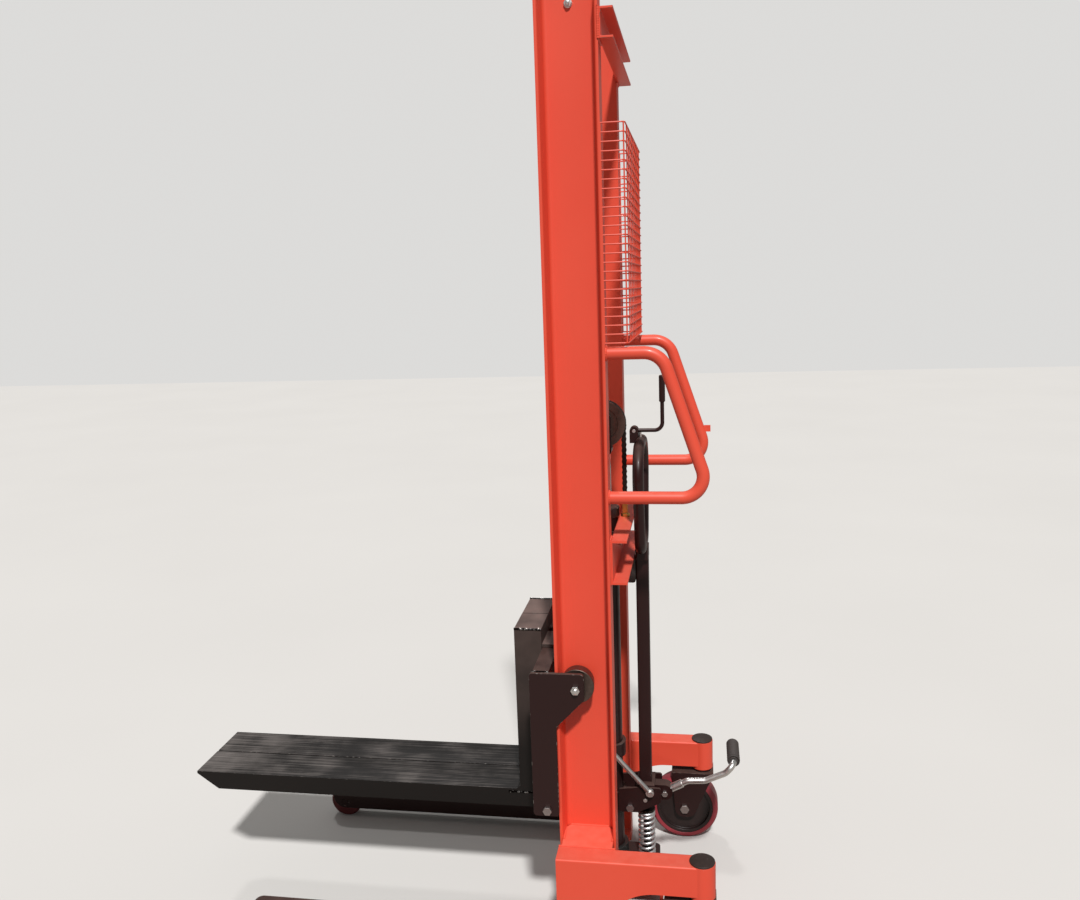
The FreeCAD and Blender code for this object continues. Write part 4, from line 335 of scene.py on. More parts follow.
finish |= {
    # Fresh plating: pale, with soft bright highlights. The weathered one has gone grey and shines less.
    "zinc_steel": plated("bright_zinc_plate", "#f3f2f0", "#cfccc8", 0.28, 0.42, 14.0),
    "dull_zinc": plated("weathered_zinc_plate", "#c4bab7", "#948986", 0.38, 0.52, 9.0),
    # Zinc passivated yellow: a brassy tint that drifts.
    "yellow_zinc": plated("yellow_zinc_plate", "#d9b763", "#a98d55", 0.28, 0.45, 12.0),
    # Ground and chromed: an almost clear mirror.
    "chrome": plated("hard_chrome", "#eeeff1", "#d5d6d9", 0.07, 0.15, 30.0),
    # Drawn wire: bright, with a broad highlight along each turn.
    "spring_steel": plated("bright_spring_steel", "#f4f4f5", "#d9d9da", 0.34, 0.46, 20.0),
    # Punched plates under oil: dark, with wet and dry places.
    "chain_steel": plated("oiled_chain_steel", "#4c4641", "#241f1c", 0.32, 0.55, 8.0),
    # Turned on a lathe and greased: brownish grey, half dull.
    "roller_steel": plated("greased_turned_steel", "#85746b", "#4e4039", 0.4, 0.56, 10.0),
    # Beads that lost their paint in places: black with bright specks.
    "weld_metal": plated("half_bare_weld_metal", "#d2ccc8", "#0f0a09", 0.2, 0.5, 7.0, 0.38, 0.47),
}
print("metals", sorted(m.name for m in finish.values()))

# %% [markdown]
# ## Rubber, cast iron and plastics
# The grip and the tiller's rest are black rubber, the wheels have red polyurethane cast round a black
# iron centre, caps are nylon, and the pump block is an iron casting with a sandy skin. To the eye they
# are a colour, a broad highlight and a fine surface, so one recipe with two close colours and a bump
# serves them all.

# %% Matt materials
SKIN_DEPTH_MM = 0.5


def moulded(name, base, tint, roughness, grain_mm, strength):
    """A non-metal with two close colours and a grain that also lifts the surface."""
    material, tree, place = begin(name)
    grain = add(tree, "ShaderNodeTexNoise", {"Vector": place, "Scale": 1 / (grain_mm * MM), "Detail": 6.0})
    tone = add(tree, "ShaderNodeMix", {"Factor": grain.outputs["Fac"], COLOUR_A: linear(base),
                                       COLOUR_B: linear(tint)}, data_type="RGBA")
    skin = add(tree, "ShaderNodeBump", {"Height": grain.outputs["Fac"], "Strength": strength,
                                        "Distance": SKIN_DEPTH_MM * MM})
    surface(tree, Base_Color=tone.outputs[COLOUR_OUT], Roughness=roughness, Normal=skin.outputs["Normal"])
    return material


finish |= {
    # Sand-cast and painted: dark, with the sand's grain under the paint.
    "cast_block": moulded("painted_iron_casting", "#191817", "#2a2725", 0.45, 3.0, 0.5),
    # Moulded rubber: dull dark grey with a fine tooth.
    "rubber": moulded("black_rubber", "#2a2523", "#4b4340", 0.66, 2.5, 0.4),
    # Cast polyurethane: deep red with a soft shine, and the same darkened as painted shade, for load wheels
    # that lie in the forks' shadow.
    "tread": moulded("red_polyurethane", "#8a2630", "#a03f48", 0.4, 22.0, 0.1),
    "tread_painted_shade": moulded("red_polyurethane_painted_shade", "#561a1e", "#6b2a2b", 0.5, 12.0, 0.2),
    # Machined iron under thin black paint: smooth, with slow changes of tone.
    "hub": moulded("black_painted_iron", "#1a1010", "#2d1f1d", 0.4, 16.0, 0.2),
    # Injected nylon: dark brown-black, half dull.
    "cap": moulded("black_nylon", "#261c19", "#3b2d28", 0.5, 9.0, 0.15),
}
print("finishes", len(finish))

# %% [markdown]
# ## A finish for every solid
# The record names a material slot for each node, and most nodes wear the finish of that name. A few look
# different from others of their slot, and a short table says so. The solid gets its finish even where a
# finer piece will stand for it later, so that nothing bare can ever show.

# %% Finishes of the nodes
record = frame["record"]
body_of_node = {n: b for b, names in record["behaviour"]["bodies"].items() for n in names}
slot_of_node = {s["node"]: s["material_slot"] for s in record["subparts"]}
# The load wheels wear the darker tread, which is painted shade for the forks' shadow on them.
SPECIAL_FINISH = {"fork": "fork_paint", "chain_anchor": "yellow_zinc", "load_wheel": "tread_painted_shade",
                  "pump_piston": "chain_steel", "pivot_pin": "dull_zinc"}


def base_name(node):
    """A node's name without its side."""
    return node.removesuffix("_left").removesuffix("_right")


def finish_of(node):
    """The material that a node wears."""
    return finish[SPECIAL_FINISH.get(base_name(node), slot_of_node[node])]


for node, solid in nodes.items():
    solid.data.materials.clear()
    solid.data.materials.append(finish_of(node))
print("finished", len(nodes), "nodes")

# %% [markdown]
# ## Making and placing meshes
# Every piece ends the same way: a plain mesh at the origin, with smooth shading that stops at hard edges,
# and most pieces ride on a body. Modifiers could stay live, but the export wants plain meshes, so they
# are baked.

# %% Helpers for meshes
MERGE = 1e-6
HARD = math.radians(32)


def mesh_of(form, name):
    """Turns an edited form into a mesh."""
    mesh = bpy.data.meshes.new(name)
    form.to_mesh(mesh)
    form.free()
    return mesh


def placed(name, data):
    """A new object at the origin that shows a mesh, a curve or a lamp."""
    piece = bpy.data.objects.new(name, data)
    bpy.context.scene.collection.objects.link(piece)
    return piece


def evaluated(piece):
    """The piece's final shape as a new mesh."""
    graph = bpy.context.evaluated_depsgraph_get()
    return bpy.data.meshes.new_from_object(piece.evaluated_get(graph), depsgraph=graph)


def bake(piece):
    """Turns the piece's final shape into its own plain mesh and drops its modifiers."""
    mesh = evaluated(piece)
    piece.modifiers.clear()
    piece.data = mesh
    return piece


def smooth(mesh):
    """Smooth shading that stops at hard edges."""
    mesh.shade_smooth()
    mesh.set_sharp_from_angle(angle=HARD)


def settle(piece, body, slot, *stood_for):
    """Makes a piece ride on a body and hides the nodes that it stands for. The slot is not used."""
    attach(piece, body)
    if stood_for:
        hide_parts(*stood_for)


print("edges over", round(math.degrees(HARD)), "degrees stay hard")

# %% [markdown]
# ## Nodes with two finishes
# Some nodes hold pieces of two finishes: a caster's fork has its axle bolt with it, and the frame's pins
# are partly bolts and partly painted. They could be split in the CAD, but they move as one. Here their
# closed shells are told apart by how tall they are or how high they lie.

# %% Shells and how to part them
AXLE_BOLT_MOST = 30 * MM
STOP_BOLT_MOST = 17 * MM


def shells(form):
    """The separate closed shells of a form, each as a list of its vertices."""
    seen, found = set(), []
    for first in form.verts:
        if first in seen:
            continue
        seen.add(first)
        shell, waiting = [], [first]
        while waiting:
            vert = waiting.pop()
            shell.append(vert)
            near = [e.other_vert(vert) for e in vert.link_edges if e.other_vert(vert) not in seen]
            seen.update(near)
            waiting += near
        found.append(shell)
    return found


def top_of(shell):
    """How high a shell reaches."""
    return max(v.co.z for v in shell)


def height_of(shell):
    """How tall a shell is."""
    return top_of(shell) - min(v.co.z for v in shell)


def middle_of(node):
    """The middle of a node's box."""
    low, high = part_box(node)
    return (low + high) / 2


# For each node: the measure and its limit, then the other piece's name, finish and slot, and whether that
# piece is above the limit. The caster's axle bolts and the lower roller axles are dull zinc, the load
# wheels' pins are painted.
SPLIT = {
    "caster_fork_left": (height_of, AXLE_BOLT_MOST, "caster_axle_left", "dull_zinc", "zinc_steel", False),
    "caster_fork_right": (height_of, AXLE_BOLT_MOST, "caster_axle_right", "dull_zinc", "zinc_steel", False),
    "roller_axles": (top_of, middle_of("roller_axles").z, "guide_roller_axles", "dull_zinc", "zinc_steel",
                     False),
    "frame_pins": (height_of, STOP_BOLT_MOST, "load_wheel_pins", "black_paint", "black_paint", True),
}
print("nodes with two finishes", len(SPLIT))

# %% [markdown]
# ## Rounded edges
# No edge on a real machine is perfectly sharp: rolled channel is round, cut plate is ground, and paint
# fills corners. Rounding every edge in the CAD would make it slow and frail. So a copy of each solid has
# its triangles merged into flat faces, and a Bevel modifier rounds what is left of the hard edges, which
# then catch a thin line of light. The modifier puts its new faces in a second material slot, and from
# that the edge attribute for chips is written.

# %% Rounded copies of the solids
FLAT = math.radians(0.4)
EDGE_MM = {
    "mast_channel": 1.6, "top_beam": 1.2, "mid_beam": 1.2, "base_plate": 1.5, "base_beam": 1.8, "leg": 1.8,
    "fork": 1.6, "carriage_plate": 1.2, "carriage_bars": 1.6, "pump_block": 1.6, "pump_lever": 0.9,
    "tiller_tube": 0.6, "tiller_loop": 0.5, "caster_fork": 1.0, "pivot_bracket": 0.9, "ram_clamps": 0.7,
    "pulley_yoke": 1.0, "stop_rod": 0.7, "roller_axles": 0.9, "frame_pins": 0.7, "lever_bolts": 0.6,
    "pivot_pin": 0.7, "pulley_axle": 0.8, "chain_anchor": 0.7, "mast_roller": 1.6, "guide_roller": 1.4,
    "press_roller": 0.9, "chain_pulley": 0.8, "load_wheel": 0.9, "wheel_hub": 1.2, "wheel_tread": 0.9,
    "housing_caps": 0.7, "release_lever": 0.4, "tiller_rest": 1.5, "ram_barrel": 0.8, "ram_gland": 1.0,
    "pump_piston": 0.8, "pedal_rod": 0.6, "handrail": 0.4, "ram_rod": 0.6,
}


def mark_edges(mesh):
    """Writes the faces that the bevel put in its second material slot to the edge attribute."""
    slots = [0] * len(mesh.polygons)
    mesh.polygons.foreach_get("material_index", slots)
    mesh.attributes.new("edge", "FLOAT", "FACE").data.foreach_set("value", [float(s) for s in slots])
    mesh.polygons.foreach_set("material_index", [0] * len(slots))
    mesh.materials.pop(index=1)


def rounded_copy(name, node, material, wanted=None):
    """A copy of a solid, or of its wanted shells, with flat faces merged and hard edges rounded."""
    form = bmesh.new()
    form.from_mesh(nodes[node].data)
    bmesh.ops.remove_doubles(form, verts=form.verts, dist=MERGE)
    if wanted:
        others = [v for shell in shells(form) if not wanted(shell) for v in shell]
        bmesh.ops.delete(form, geom=others, context="VERTS")
    bmesh.ops.dissolve_limit(form, angle_limit=FLAT, verts=form.verts, edges=form.edges)
    mesh = mesh_of(form, name)
    for _ in ("faces", "edges"):
        mesh.materials.append(material)
    smooth(mesh)
    piece = placed(name, mesh)
    bevel = piece.modifiers.new("edges", "BEVEL")
    bevel.width = EDGE_MM[base_name(node)] * MM
    bevel.segments = 2
    bevel.limit_method = "ANGLE"
    bevel.angle_limit = HARD
    bevel.harden_normals = True
    bevel.material = 1
    mark_edges(bake(piece).data)
    return piece


rounded = [node for node in nodes if base_name(node) in EDGE_MM]
for node in rounded:
    own = None
    if node in SPLIT:
        measure, limit, name, look, slot, above = SPLIT[node]
        other = rounded_copy(name, node, finish[look], lambda shell: (measure(shell) > limit) == above)
        settle(other, body_of_node[node], slot)
        own = (lambda shell: (measure(shell) > limit) != above)
    piece = rounded_copy(node + "_rounded", node, finish_of(node), own)
    settle(piece, body_of_node[node], slot_of_node[node], node)
print("rounded", len(rounded), "of", len(nodes))

# %% [markdown]
# ## Growing what repeats
# Wires, links, beads and fasteners repeat, and copying them in a loop would hide the rule that they
# follow. A Geometry Nodes tree states the rule: it is built once with named inputs, set on a host mesh of
# points or lines, and its result is baked to a plain mesh. The first input of every tree is the host's
# geometry.

# %% Helpers for node trees
def tree_of(name, **inputs):
    """An empty tree with its geometry sockets and the named inputs, given by socket type."""
    tree = bpy.data.node_groups.new(name, "GeometryNodeTree")
    tree.interface.new_socket("Geometry", in_out="INPUT", socket_type="NodeSocketGeometry")
    for key, kind in inputs.items():
        tree.interface.new_socket(key, in_out="INPUT", socket_type="NodeSocket" + kind)
    tree.interface.new_socket("Geometry", in_out="OUTPUT", socket_type="NodeSocketGeometry")
    return tree, add(tree, "NodeGroupInput").outputs


def close(tree, geometry, material):
    """Ends a tree: real instances, one material, and the way out."""
    real = add(tree, "GeometryNodeRealizeInstances", {"Geometry": geometry})
    worn = add(tree, "GeometryNodeSetMaterial", {"Geometry": real.outputs[0], "Material": material})
    add(tree, "NodeGroupOutput", {"Geometry": worn.outputs[0]})


def grow(name, host, tree, **sizes):
    """Grows a tree on a host mesh and bakes it."""
    piece = placed(name, host)
    grower = piece.modifiers.new("grow", "NODES")
    grower.node_group = tree
    for item in tree.interface.items_tree:
        if item.in_out == "INPUT" and item.name in sizes:
            grower[item.identifier] = sizes[item.name]
    bake(piece)
    smooth(piece.data)
    print(name, "faces", len(piece.data.polygons))
    return piece


def lines(name, runs):
    """A mesh of edges only, one run of points after another."""
    mesh = bpy.data.meshes.new(name)
    points, edges = [], []
    for run in runs:
        edges += [(len(points) + i, len(points) + i + 1) for i in range(len(run) - 1)]
        points += [tuple(p) for p in run]
    mesh.from_pydata(points, edges, [])
    return mesh


def arc(centre, from_dir, to_dir, radius, steps):
    """Points on an arc from one direction to another, seen from its centre."""
    a, b = Vector(from_dir).normalized(), Vector(to_dir).normalized()
    angle = a.angle(b)
    side = (b - a * a.dot(b)).normalized()
    return [Vector(centre) + radius * (a * math.cos(angle * k / steps) + side * math.sin(angle * k / steps))
            for k in range(steps + 1)]


print("an arc of 4 steps has", len(arc((0, 0, 0), (1, 0, 0), (0, 1, 0), 1.0, 4)), "points")

# %% [markdown]
# ## The wire guard
# The guard behind the mast keeps hands off the chain. It is welded wire: each level wire is bent round
# both corners in one piece, and upright wires are welded inside them. A Wireframe modifier on a grid
# would cut the wires at every crossing, so the tree copies one bent wire up the guard and stands straight
# wires along it.

# %% Wire guard
WIRE_R, WIRE_SIDES = 1.5 * MM, 8
GUARD_BEND_R, BEND_STEPS = 9 * MM, 5
GUARD_ROWS, GUARD_UPRIGHTS = 24, 13


def wire_tree():
    """Level wires from the host's line and upright wires along it."""
    tree, given = tree_of("welded_wire", Rows="Int", Uprights="Int", Height="Float", Radius="Float",
                          Material="Material")
    path = add(tree, "GeometryNodeMeshToCurve", {"Mesh": given["Geometry"]}).outputs[0]
    pitch = add(tree, "ShaderNodeMath", {0: given["Height"], 1: given["Rows"]}, operation="DIVIDE")
    step = add(tree, "ShaderNodeCombineXYZ", {"Z": pitch.outputs[0]})
    count = add(tree, "ShaderNodeMath", {0: given["Rows"], 1: 1.0})
    levels = add(tree, "GeometryNodeMeshLine", {"Count": count.outputs[0], "Offset": step.outputs[0]})
    level_wires = add(tree, "GeometryNodeInstanceOnPoints", {"Points": levels.outputs[0], "Instance": path})
    feet = add(tree, "GeometryNodeResampleCurve", {"Curve": path, "Count": given["Uprights"]})
    tall = add(tree, "ShaderNodeCombineXYZ", {"Z": given["Height"]})
    upright = add(tree, "GeometryNodeCurvePrimitiveLine", {"End": tall.outputs[0]})
    uprights = add(tree, "GeometryNodeInstanceOnPoints", {"Points": feet.outputs[0],
                                                          "Instance": upright.outputs[0]})
    both = add(tree, "GeometryNodeJoinGeometry")
    for wires in (level_wires, uprights):
        tree.links.new(wires.outputs[0], both.inputs[0])
    real = add(tree, "GeometryNodeRealizeInstances", {"Geometry": both.outputs[0]})
    section = add(tree, "GeometryNodeCurvePrimitiveCircle", {"Radius": given["Radius"],
                                                             "Resolution": WIRE_SIDES})
    drawn = add(tree, "GeometryNodeCurveToMesh",
                {"Curve": real.outputs[0], "Profile Curve": section.outputs[0], "Fill Caps": True})
    close(tree, drawn.outputs[0], given["Material"])
    return tree


low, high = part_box("mesh_guard")
foot_z = low.z + WIRE_R
left_y, right_y = low.y + WIRE_R, high.y - WIRE_R
bend_x = high.x - WIRE_R - GUARD_BEND_R
guard_path = [Vector((low.x, left_y, foot_z))]
guard_path += arc((bend_x, left_y + GUARD_BEND_R, foot_z), (0, -1, 0), (1, 0, 0), GUARD_BEND_R, BEND_STEPS)
guard_path += arc((bend_x, right_y - GUARD_BEND_R, foot_z), (1, 0, 0), (0, 1, 0), GUARD_BEND_R, BEND_STEPS)
guard_path += [Vector((low.x, right_y, foot_z))]
guard = grow("guard_wires", lines("guard_path", [guard_path]), wire_tree(), Rows=GUARD_ROWS,
             Uprights=GUARD_UPRIGHTS, Height=high.z - low.z - 2 * WIRE_R, Radius=WIRE_R,
             Material=finish["red_paint"])
settle(guard, "frame", "red_paint", "mesh_guard")

# %% [markdown]
# ## The chain's links
# A leaf chain has no rollers: thin waisted plates are stacked side by side on pins, and every second
# link's plates lie between those of its neighbours. An Array modifier could repeat one link, but not two
# in turn, so two small link shapes are made for a tree that sets them in turn.

# %% Chain links
CHAIN_PITCH = 12.7 * MM
PLATE_T, PLATE_H = 1.9 * MM, 12 * MM
PLATE_EASE, PLATE_WAIST, PLATE_STEPS = 0.3 * MM, 0.72, 5
PIN_R, PIN_SIDES = 2.3 * MM, 8
bend_low, bend_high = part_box("chain_bend")
CHAIN_W = bend_high.y - bend_low.y
OUTER_SHARES = (-0.42, -0.14, 0.14, 0.42)
INNER_SHARES = (-0.28, 0.0, 0.28)


def link_shape(name, shares):
    """Plates of one link side by side on Y, along X, with the pin at the link's front end."""
    form = bmesh.new()
    half, radius = CHAIN_PITCH / 2, PLATE_H / 2 - PLATE_EASE
    waist = radius * PLATE_WAIST
    angles = [math.pi / 2 - math.pi * k / PLATE_STEPS for k in range(PLATE_STEPS + 1)]
    front = [(half + radius * math.cos(a), radius * math.sin(a)) for a in angles]
    outline = front + [(0, -waist)] + [(-x, -z) for x, z in front] + [(0, waist)]
    for share in shares:
        rims = []
        for side in (-1, 1):
            y = share * CHAIN_W + side * PLATE_T / 2
            rims.append([form.verts.new((x, y, z)) for x, z in outline])
        form.faces.new(rims[0])
        form.faces.new(reversed(rims[1]))
        for i, vert in enumerate(rims[0]):
            j = (i + 1) % len(outline)
            form.faces.new((rims[0][j], vert, rims[1][i], rims[1][j]))
    pin = Matrix.Translation((half, 0, 0)) @ Matrix.Rotation(math.pi / 2, 4, "X")
    bmesh.ops.create_cone(form, cap_ends=True, segments=PIN_SIDES, radius1=PIN_R, radius2=PIN_R,
                          depth=CHAIN_W, matrix=pin)
    bmesh.ops.recalc_face_normals(form, faces=form.faces)
    return bpy.data.objects.new(name, mesh_of(form, name))


outer_link = link_shape("outer_link", OUTER_SHARES)
inner_link = link_shape("inner_link", INNER_SHARES)
print("faces of a link", len(outer_link.data.polygons), len(inner_link.data.polygons))

# %% [markdown]
# ## The chain's path
# The chain runs from the anchor up to the pulley, over it, and down to the carriage. The half turn rides
# on the ram's rod: links could pass over the pulley only in an animation, not in a pose. The two straight
# runs change length when the ram moves, and here each stays where it is made.

# %% Chain runs
BEND_LINE_STEPS = 24
LEAN = 0.001


def chain_tree():
    """Sets two link shapes in turn along the host's line, turned to its direction."""
    tree, given = tree_of("leaf_chain", Count="Int", Outer="Object", Inner="Object", Material="Material")
    path = add(tree, "GeometryNodeMeshToCurve", {"Mesh": given["Geometry"]})
    pins = add(tree, "GeometryNodeResampleCurve", {"Curve": path.outputs[0], "Count": given["Count"]})
    heading = add(tree, "GeometryNodeInputTangent")
    spin = add(tree, "FunctionNodeAlignRotationToVector", {"Vector": heading.outputs[0]}, axis="X",
               pivot_axis="Y")
    index = add(tree, "GeometryNodeInputIndex")
    odd = add(tree, "ShaderNodeMath", {0: index.outputs[0], 1: 2.0}, operation="MODULO")
    even = add(tree, "ShaderNodeMath", {0: 1.0, 1: odd.outputs[0]}, operation="SUBTRACT")
    joined = add(tree, "GeometryNodeJoinGeometry")
    for key, chosen in (("Outer", odd), ("Inner", even)):
        shape = add(tree, "GeometryNodeObjectInfo", {"Object": given[key]})
        links = add(tree, "GeometryNodeInstanceOnPoints",
                    {"Points": pins.outputs[0], "Selection": chosen.outputs[0],
                     "Instance": shape.outputs["Geometry"], "Rotation": spin.outputs[0]})
        tree.links.new(links.outputs[0], joined.inputs[0])
    close(tree, joined.outputs[0], given["Material"])
    return tree


leaf_chain = chain_tree()


def chain(name, points):
    """A run of chain through the points."""
    length = sum((b - a).length for a, b in zip(points, points[1:]))
    count = max(2, round(length / CHAIN_PITCH) + 1)
    return grow(name, lines(name, [points]), leaf_chain, Count=count, Outer=outer_link, Inner=inner_link,
                Material=finish["chain_steel"])


# Both ends of the half turn lean up by a hair, so that it goes over the pulley and not under it.
axle = Vector(((bend_low.x + bend_high.x) / 2, 0, bend_low.z))
pitch_r = (bend_high.x - bend_low.x - PLATE_H) / 2
over = chain("chain_over_pulley", arc(axle, (1, 0, LEAN), (-1, 0, LEAN), pitch_r, BEND_LINE_STEPS))
settle(over, "ram_rod", "chain_steel", "chain_bend")
for end, holder in (("rear", "frame"), ("front", "carriage")):
    low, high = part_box("chain_" + end)
    x = (low.x + high.x) / 2
    foot, head = Vector((x, 0, low.z + CHAIN_PITCH)), Vector((x, 0, high.z - CHAIN_PITCH / 2))
    run = chain("chain_run_" + end, [foot, head])
    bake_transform(run)
    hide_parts("chain_" + end)

# %% [markdown]
# ## The pump spring
# The bright spring round the plunger lifts the lever again after each stroke. Its wire is round, both
# ends have a closed turn, and it shortens as the plunger goes down. A Screw modifier has one pitch only,
# so a curve of points with a round bevel makes the wire.

# %% Pump spring
SPRING_WIRE, WIRE_ROUND = 7 * MM, 4
SPRING_TURNS, POINTS_PER_TURN = 7, 24
CLOSE_GAP = 0.6 * MM


def spring_mesh(low, high):
    """The wire as a mesh: one close turn at each end and even turns between."""
    centre = (low + high) / 2
    radius = (high.x - low.x - SPRING_WIRE) / 2
    close_rise = SPRING_WIRE + CLOSE_GAP
    pitch = (high.z - low.z - SPRING_WIRE - 2 * close_rise) / SPRING_TURNS
    points, z = [], low.z + SPRING_WIRE / 2
    for k in range(POINTS_PER_TURN * (SPRING_TURNS + 2) + 1):
        angle = 2 * math.pi * k / POINTS_PER_TURN
        points.append((centre.x + radius * math.cos(angle), centre.y + radius * math.sin(angle), z))
        turn_now = (k + 0.5) / POINTS_PER_TURN
        z += (pitch if 1 <= turn_now <= SPRING_TURNS + 1 else close_rise) / POINTS_PER_TURN
    wire = bpy.data.curves.new("spring_wire", "CURVE")
    wire.dimensions = "3D"
    wire.bevel_depth = SPRING_WIRE / 2
    wire.bevel_resolution = WIRE_ROUND
    wire.use_fill_caps = True
    spline = wire.splines.new("POLY")
    spline.points.add(len(points) - 1)
    for point, place in zip(spline.points, points):
        point.co = (*place, 1)
    holder = placed("spring_wire", wire)
    mesh = evaluated(holder)
    bpy.data.objects.remove(holder)
    return mesh


low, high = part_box("pump_spring")
coil = placed("pump_spring_wire", spring_mesh(low, high))
coil.data.materials.append(finish["spring_steel"])
smooth(coil.data)
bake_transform(coil)
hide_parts("pump_spring")
print("spring faces", len(coil.data.polygons))

# %% [markdown]
# ## The pedal's rubber grip
# The foot pedal ends in a moulded rubber sleeve with rounded ribs, a domed far end and a hollow near end
# where the rod goes in. A bump could draw the ribs, but their outline would stay smooth. The sleeve is a
# turned shape, so a profile with the ribs in it is spun round the pedal's axis.

# %% Pedal grip
GRIP_RIBS, RIB_STEPS, RIB_DEPTH = 7, 6, 3.4 * MM
DOME_L, HOLLOW_L = 5 * MM, 4 * MM
LIP_IN, LIP_OUT = 0.6 * MM, 0.8 * MM
GRIP_SIDES = 28


def turned(name, profile, sides):
    """A closed mesh spun from (radius, height) pairs about Z."""
    form = bmesh.new()
    verts = [form.verts.new((r, 0, h)) for r, h in profile]
    edges = [form.edges.new(pair) for pair in zip(verts, verts[1:])]
    bmesh.ops.spin(form, geom=verts + edges, cent=(0, 0, 0), axis=(0, 0, 1), angle=2 * math.pi, steps=sides)
    bmesh.ops.remove_doubles(form, verts=form.verts, dist=MERGE)
    bmesh.ops.recalc_face_normals(form, faces=form.faces)
    return mesh_of(form, name)


def grip_profile(radius, length):
    """The hollow end with its lip, the ribs and the domed end."""
    rows = [(0, HOLLOW_L), (radius * 0.76, HOLLOW_L), (radius * 0.82, LIP_IN), (radius * 0.88, 0),
            (radius * 0.97, LIP_OUT)]
    steps = GRIP_RIBS * RIB_STEPS
    for k in range(steps + 1):
        dip = 0.5 - 0.5 * math.cos(2 * math.pi * k / RIB_STEPS)
        rows.append((radius - RIB_DEPTH * dip, DOME_L + (length - 2 * DOME_L) * k / steps))
    for k in range(1, RIB_STEPS):
        angle = math.pi / 2 * k / RIB_STEPS
        rows.append((radius * math.cos(angle), length - DOME_L + DOME_L * math.sin(angle)))
    return rows + [(0, length)]


low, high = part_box("pedal_grip")
sleeve = turned("pedal_rubber", grip_profile((high.x - low.x) / 2, high.y - low.y), GRIP_SIDES)
lying = Vector((0, 0, 1)).rotation_difference(Vector((0, 1, 0))).to_matrix().to_4x4()
sleeve.transform(Matrix.Translation(((low.x + high.x) / 2, low.y, (low.z + high.z) / 2)) @ lying)
sleeve.materials.append(finish["rubber"])
smooth(sleeve)
settle(placed("pedal_rubber", sleeve), "pump_lever", "rubber", "pedal_grip")
print("grip faces", len(sleeve.polygons))

# %% [markdown]
# ## Weld beads
# The frame is welded, and the seams show: a raised bead with ripples where each pool froze. A bump along
# the seam would vanish in the outline, so a tube follows each seam, half sunk in the metal, and its
# radius swells and shrinks with the ripples and with a slow noise.

# %% The bead's tree
BEAD_R, BEAD_SIDES = 2.6 * MM, 8
RIPPLE, RIPPLE_STEPS = 4.5 * MM, 4.0
UNEVEN_MM = 20.0
BEAD_LEAST, RIPPLE_SWELL, UNEVEN_SWELL = 0.62, 0.13, 0.7


def weld_tree():
    """A rippled bead along the host's lines."""
    tree, given = tree_of("weld_bead", Radius="Float", Ripple="Float", Material="Material")
    path = add(tree, "GeometryNodeMeshToCurve", {"Mesh": given["Geometry"]})
    fine = add(tree, "ShaderNodeMath", {0: given["Ripple"], 1: RIPPLE_STEPS}, operation="DIVIDE")
    drawn = add(tree, "GeometryNodeResampleCurve", {"Curve": path.outputs[0], "Length": fine.outputs[0]},
                mode="LENGTH")
    walked = add(tree, "GeometryNodeSplineParameter").outputs["Length"]
    turns = add(tree, "ShaderNodeMath", {0: walked, 1: given["Ripple"]}, operation="DIVIDE")
    phase = add(tree, "ShaderNodeMath", {0: turns.outputs[0], 1: 2 * math.pi}, operation="MULTIPLY")
    wave = add(tree, "ShaderNodeMath", {0: phase.outputs[0]}, operation="SINE")
    place = add(tree, "GeometryNodeInputPosition")
    uneven = add(tree, "ShaderNodeTexNoise", {"Vector": place.outputs[0], "Scale": 1 / (UNEVEN_MM * MM)})
    ripple = add(tree, "ShaderNodeMath", {0: wave.outputs[0], 1: RIPPLE_SWELL, 2: BEAD_LEAST},
                 operation="MULTIPLY_ADD")
    swell = add(tree, "ShaderNodeMath", {0: uneven.outputs["Fac"], 1: UNEVEN_SWELL, 2: ripple.outputs[0]},
                operation="MULTIPLY_ADD")
    radius = add(tree, "ShaderNodeMath", {0: swell.outputs[0], 1: given["Radius"]}, operation="MULTIPLY")
    section = add(tree, "GeometryNodeCurvePrimitiveCircle", {"Radius": 1.0, "Resolution": BEAD_SIDES})
    mesh = add(tree, "GeometryNodeCurveToMesh",
               {"Curve": drawn.outputs[0], "Profile Curve": section.outputs[0], "Scale": radius.outputs[0],
                "Fill Caps": True})
    close(tree, mesh.outputs[0], given["Material"])
    return tree


weld = weld_tree()


def weld_along(name, seams, body, slot, look):
    """Beads along seams, each a run of points, that ride on a body."""
    beads = grow(name, lines(name.replace("welds", "seams"), seams), weld, Radius=BEAD_R, Ripple=RIPPLE,
                 Material=finish[look])
    settle(beads, body, slot)


def corners_of(points, **fixed):
    """Points in space from pairs of the two coordinates that are not fixed."""
    free = [axis for axis in "xyz" if axis not in fixed]
    return [Vector([{**fixed, **dict(zip(free, pair))}[axis] for axis in "xyz"]) for pair in points]


print("beads of", BEAD_R / MM, "mm radius with ripples of", RIPPLE / MM, "mm")

# %% [markdown]
# ## Welds of the frame
# Beads join the rails, the beams and the base to the mast, and each foot plate to its channel and leg.
# Their places follow from the boxes of the solids, so they stay on their seams if a size changes. They
# are painted over in red.

# %% Frame welds
SIDES = (("left", -1), ("right", 1))
WEB_T, FLANGE_T, ROOT_CLEAR = 5.5 * MM, 9 * MM, 20 * MM
PLATE_DROP = 12 * MM
SEAM_DROP, SEAM_LIFT = 2 * MM, 4 * MM
RAIL_END, RAIL_PROUD, RAIL_STEPS = 1 * MM, 0.5 * MM, 24
mast_low, mast_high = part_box("mast_channel_right")


def round_seam(centre, axis, radius):
    """A closed round of points about an axis."""
    side = axis.orthogonal().normalized()
    other = axis.cross(side)
    angles = [2 * math.pi * k / RAIL_STEPS for k in range(RAIL_STEPS + 1)]
    return [Vector(centre) + radius * (side * math.cos(a) + other * math.sin(a)) for a in angles]


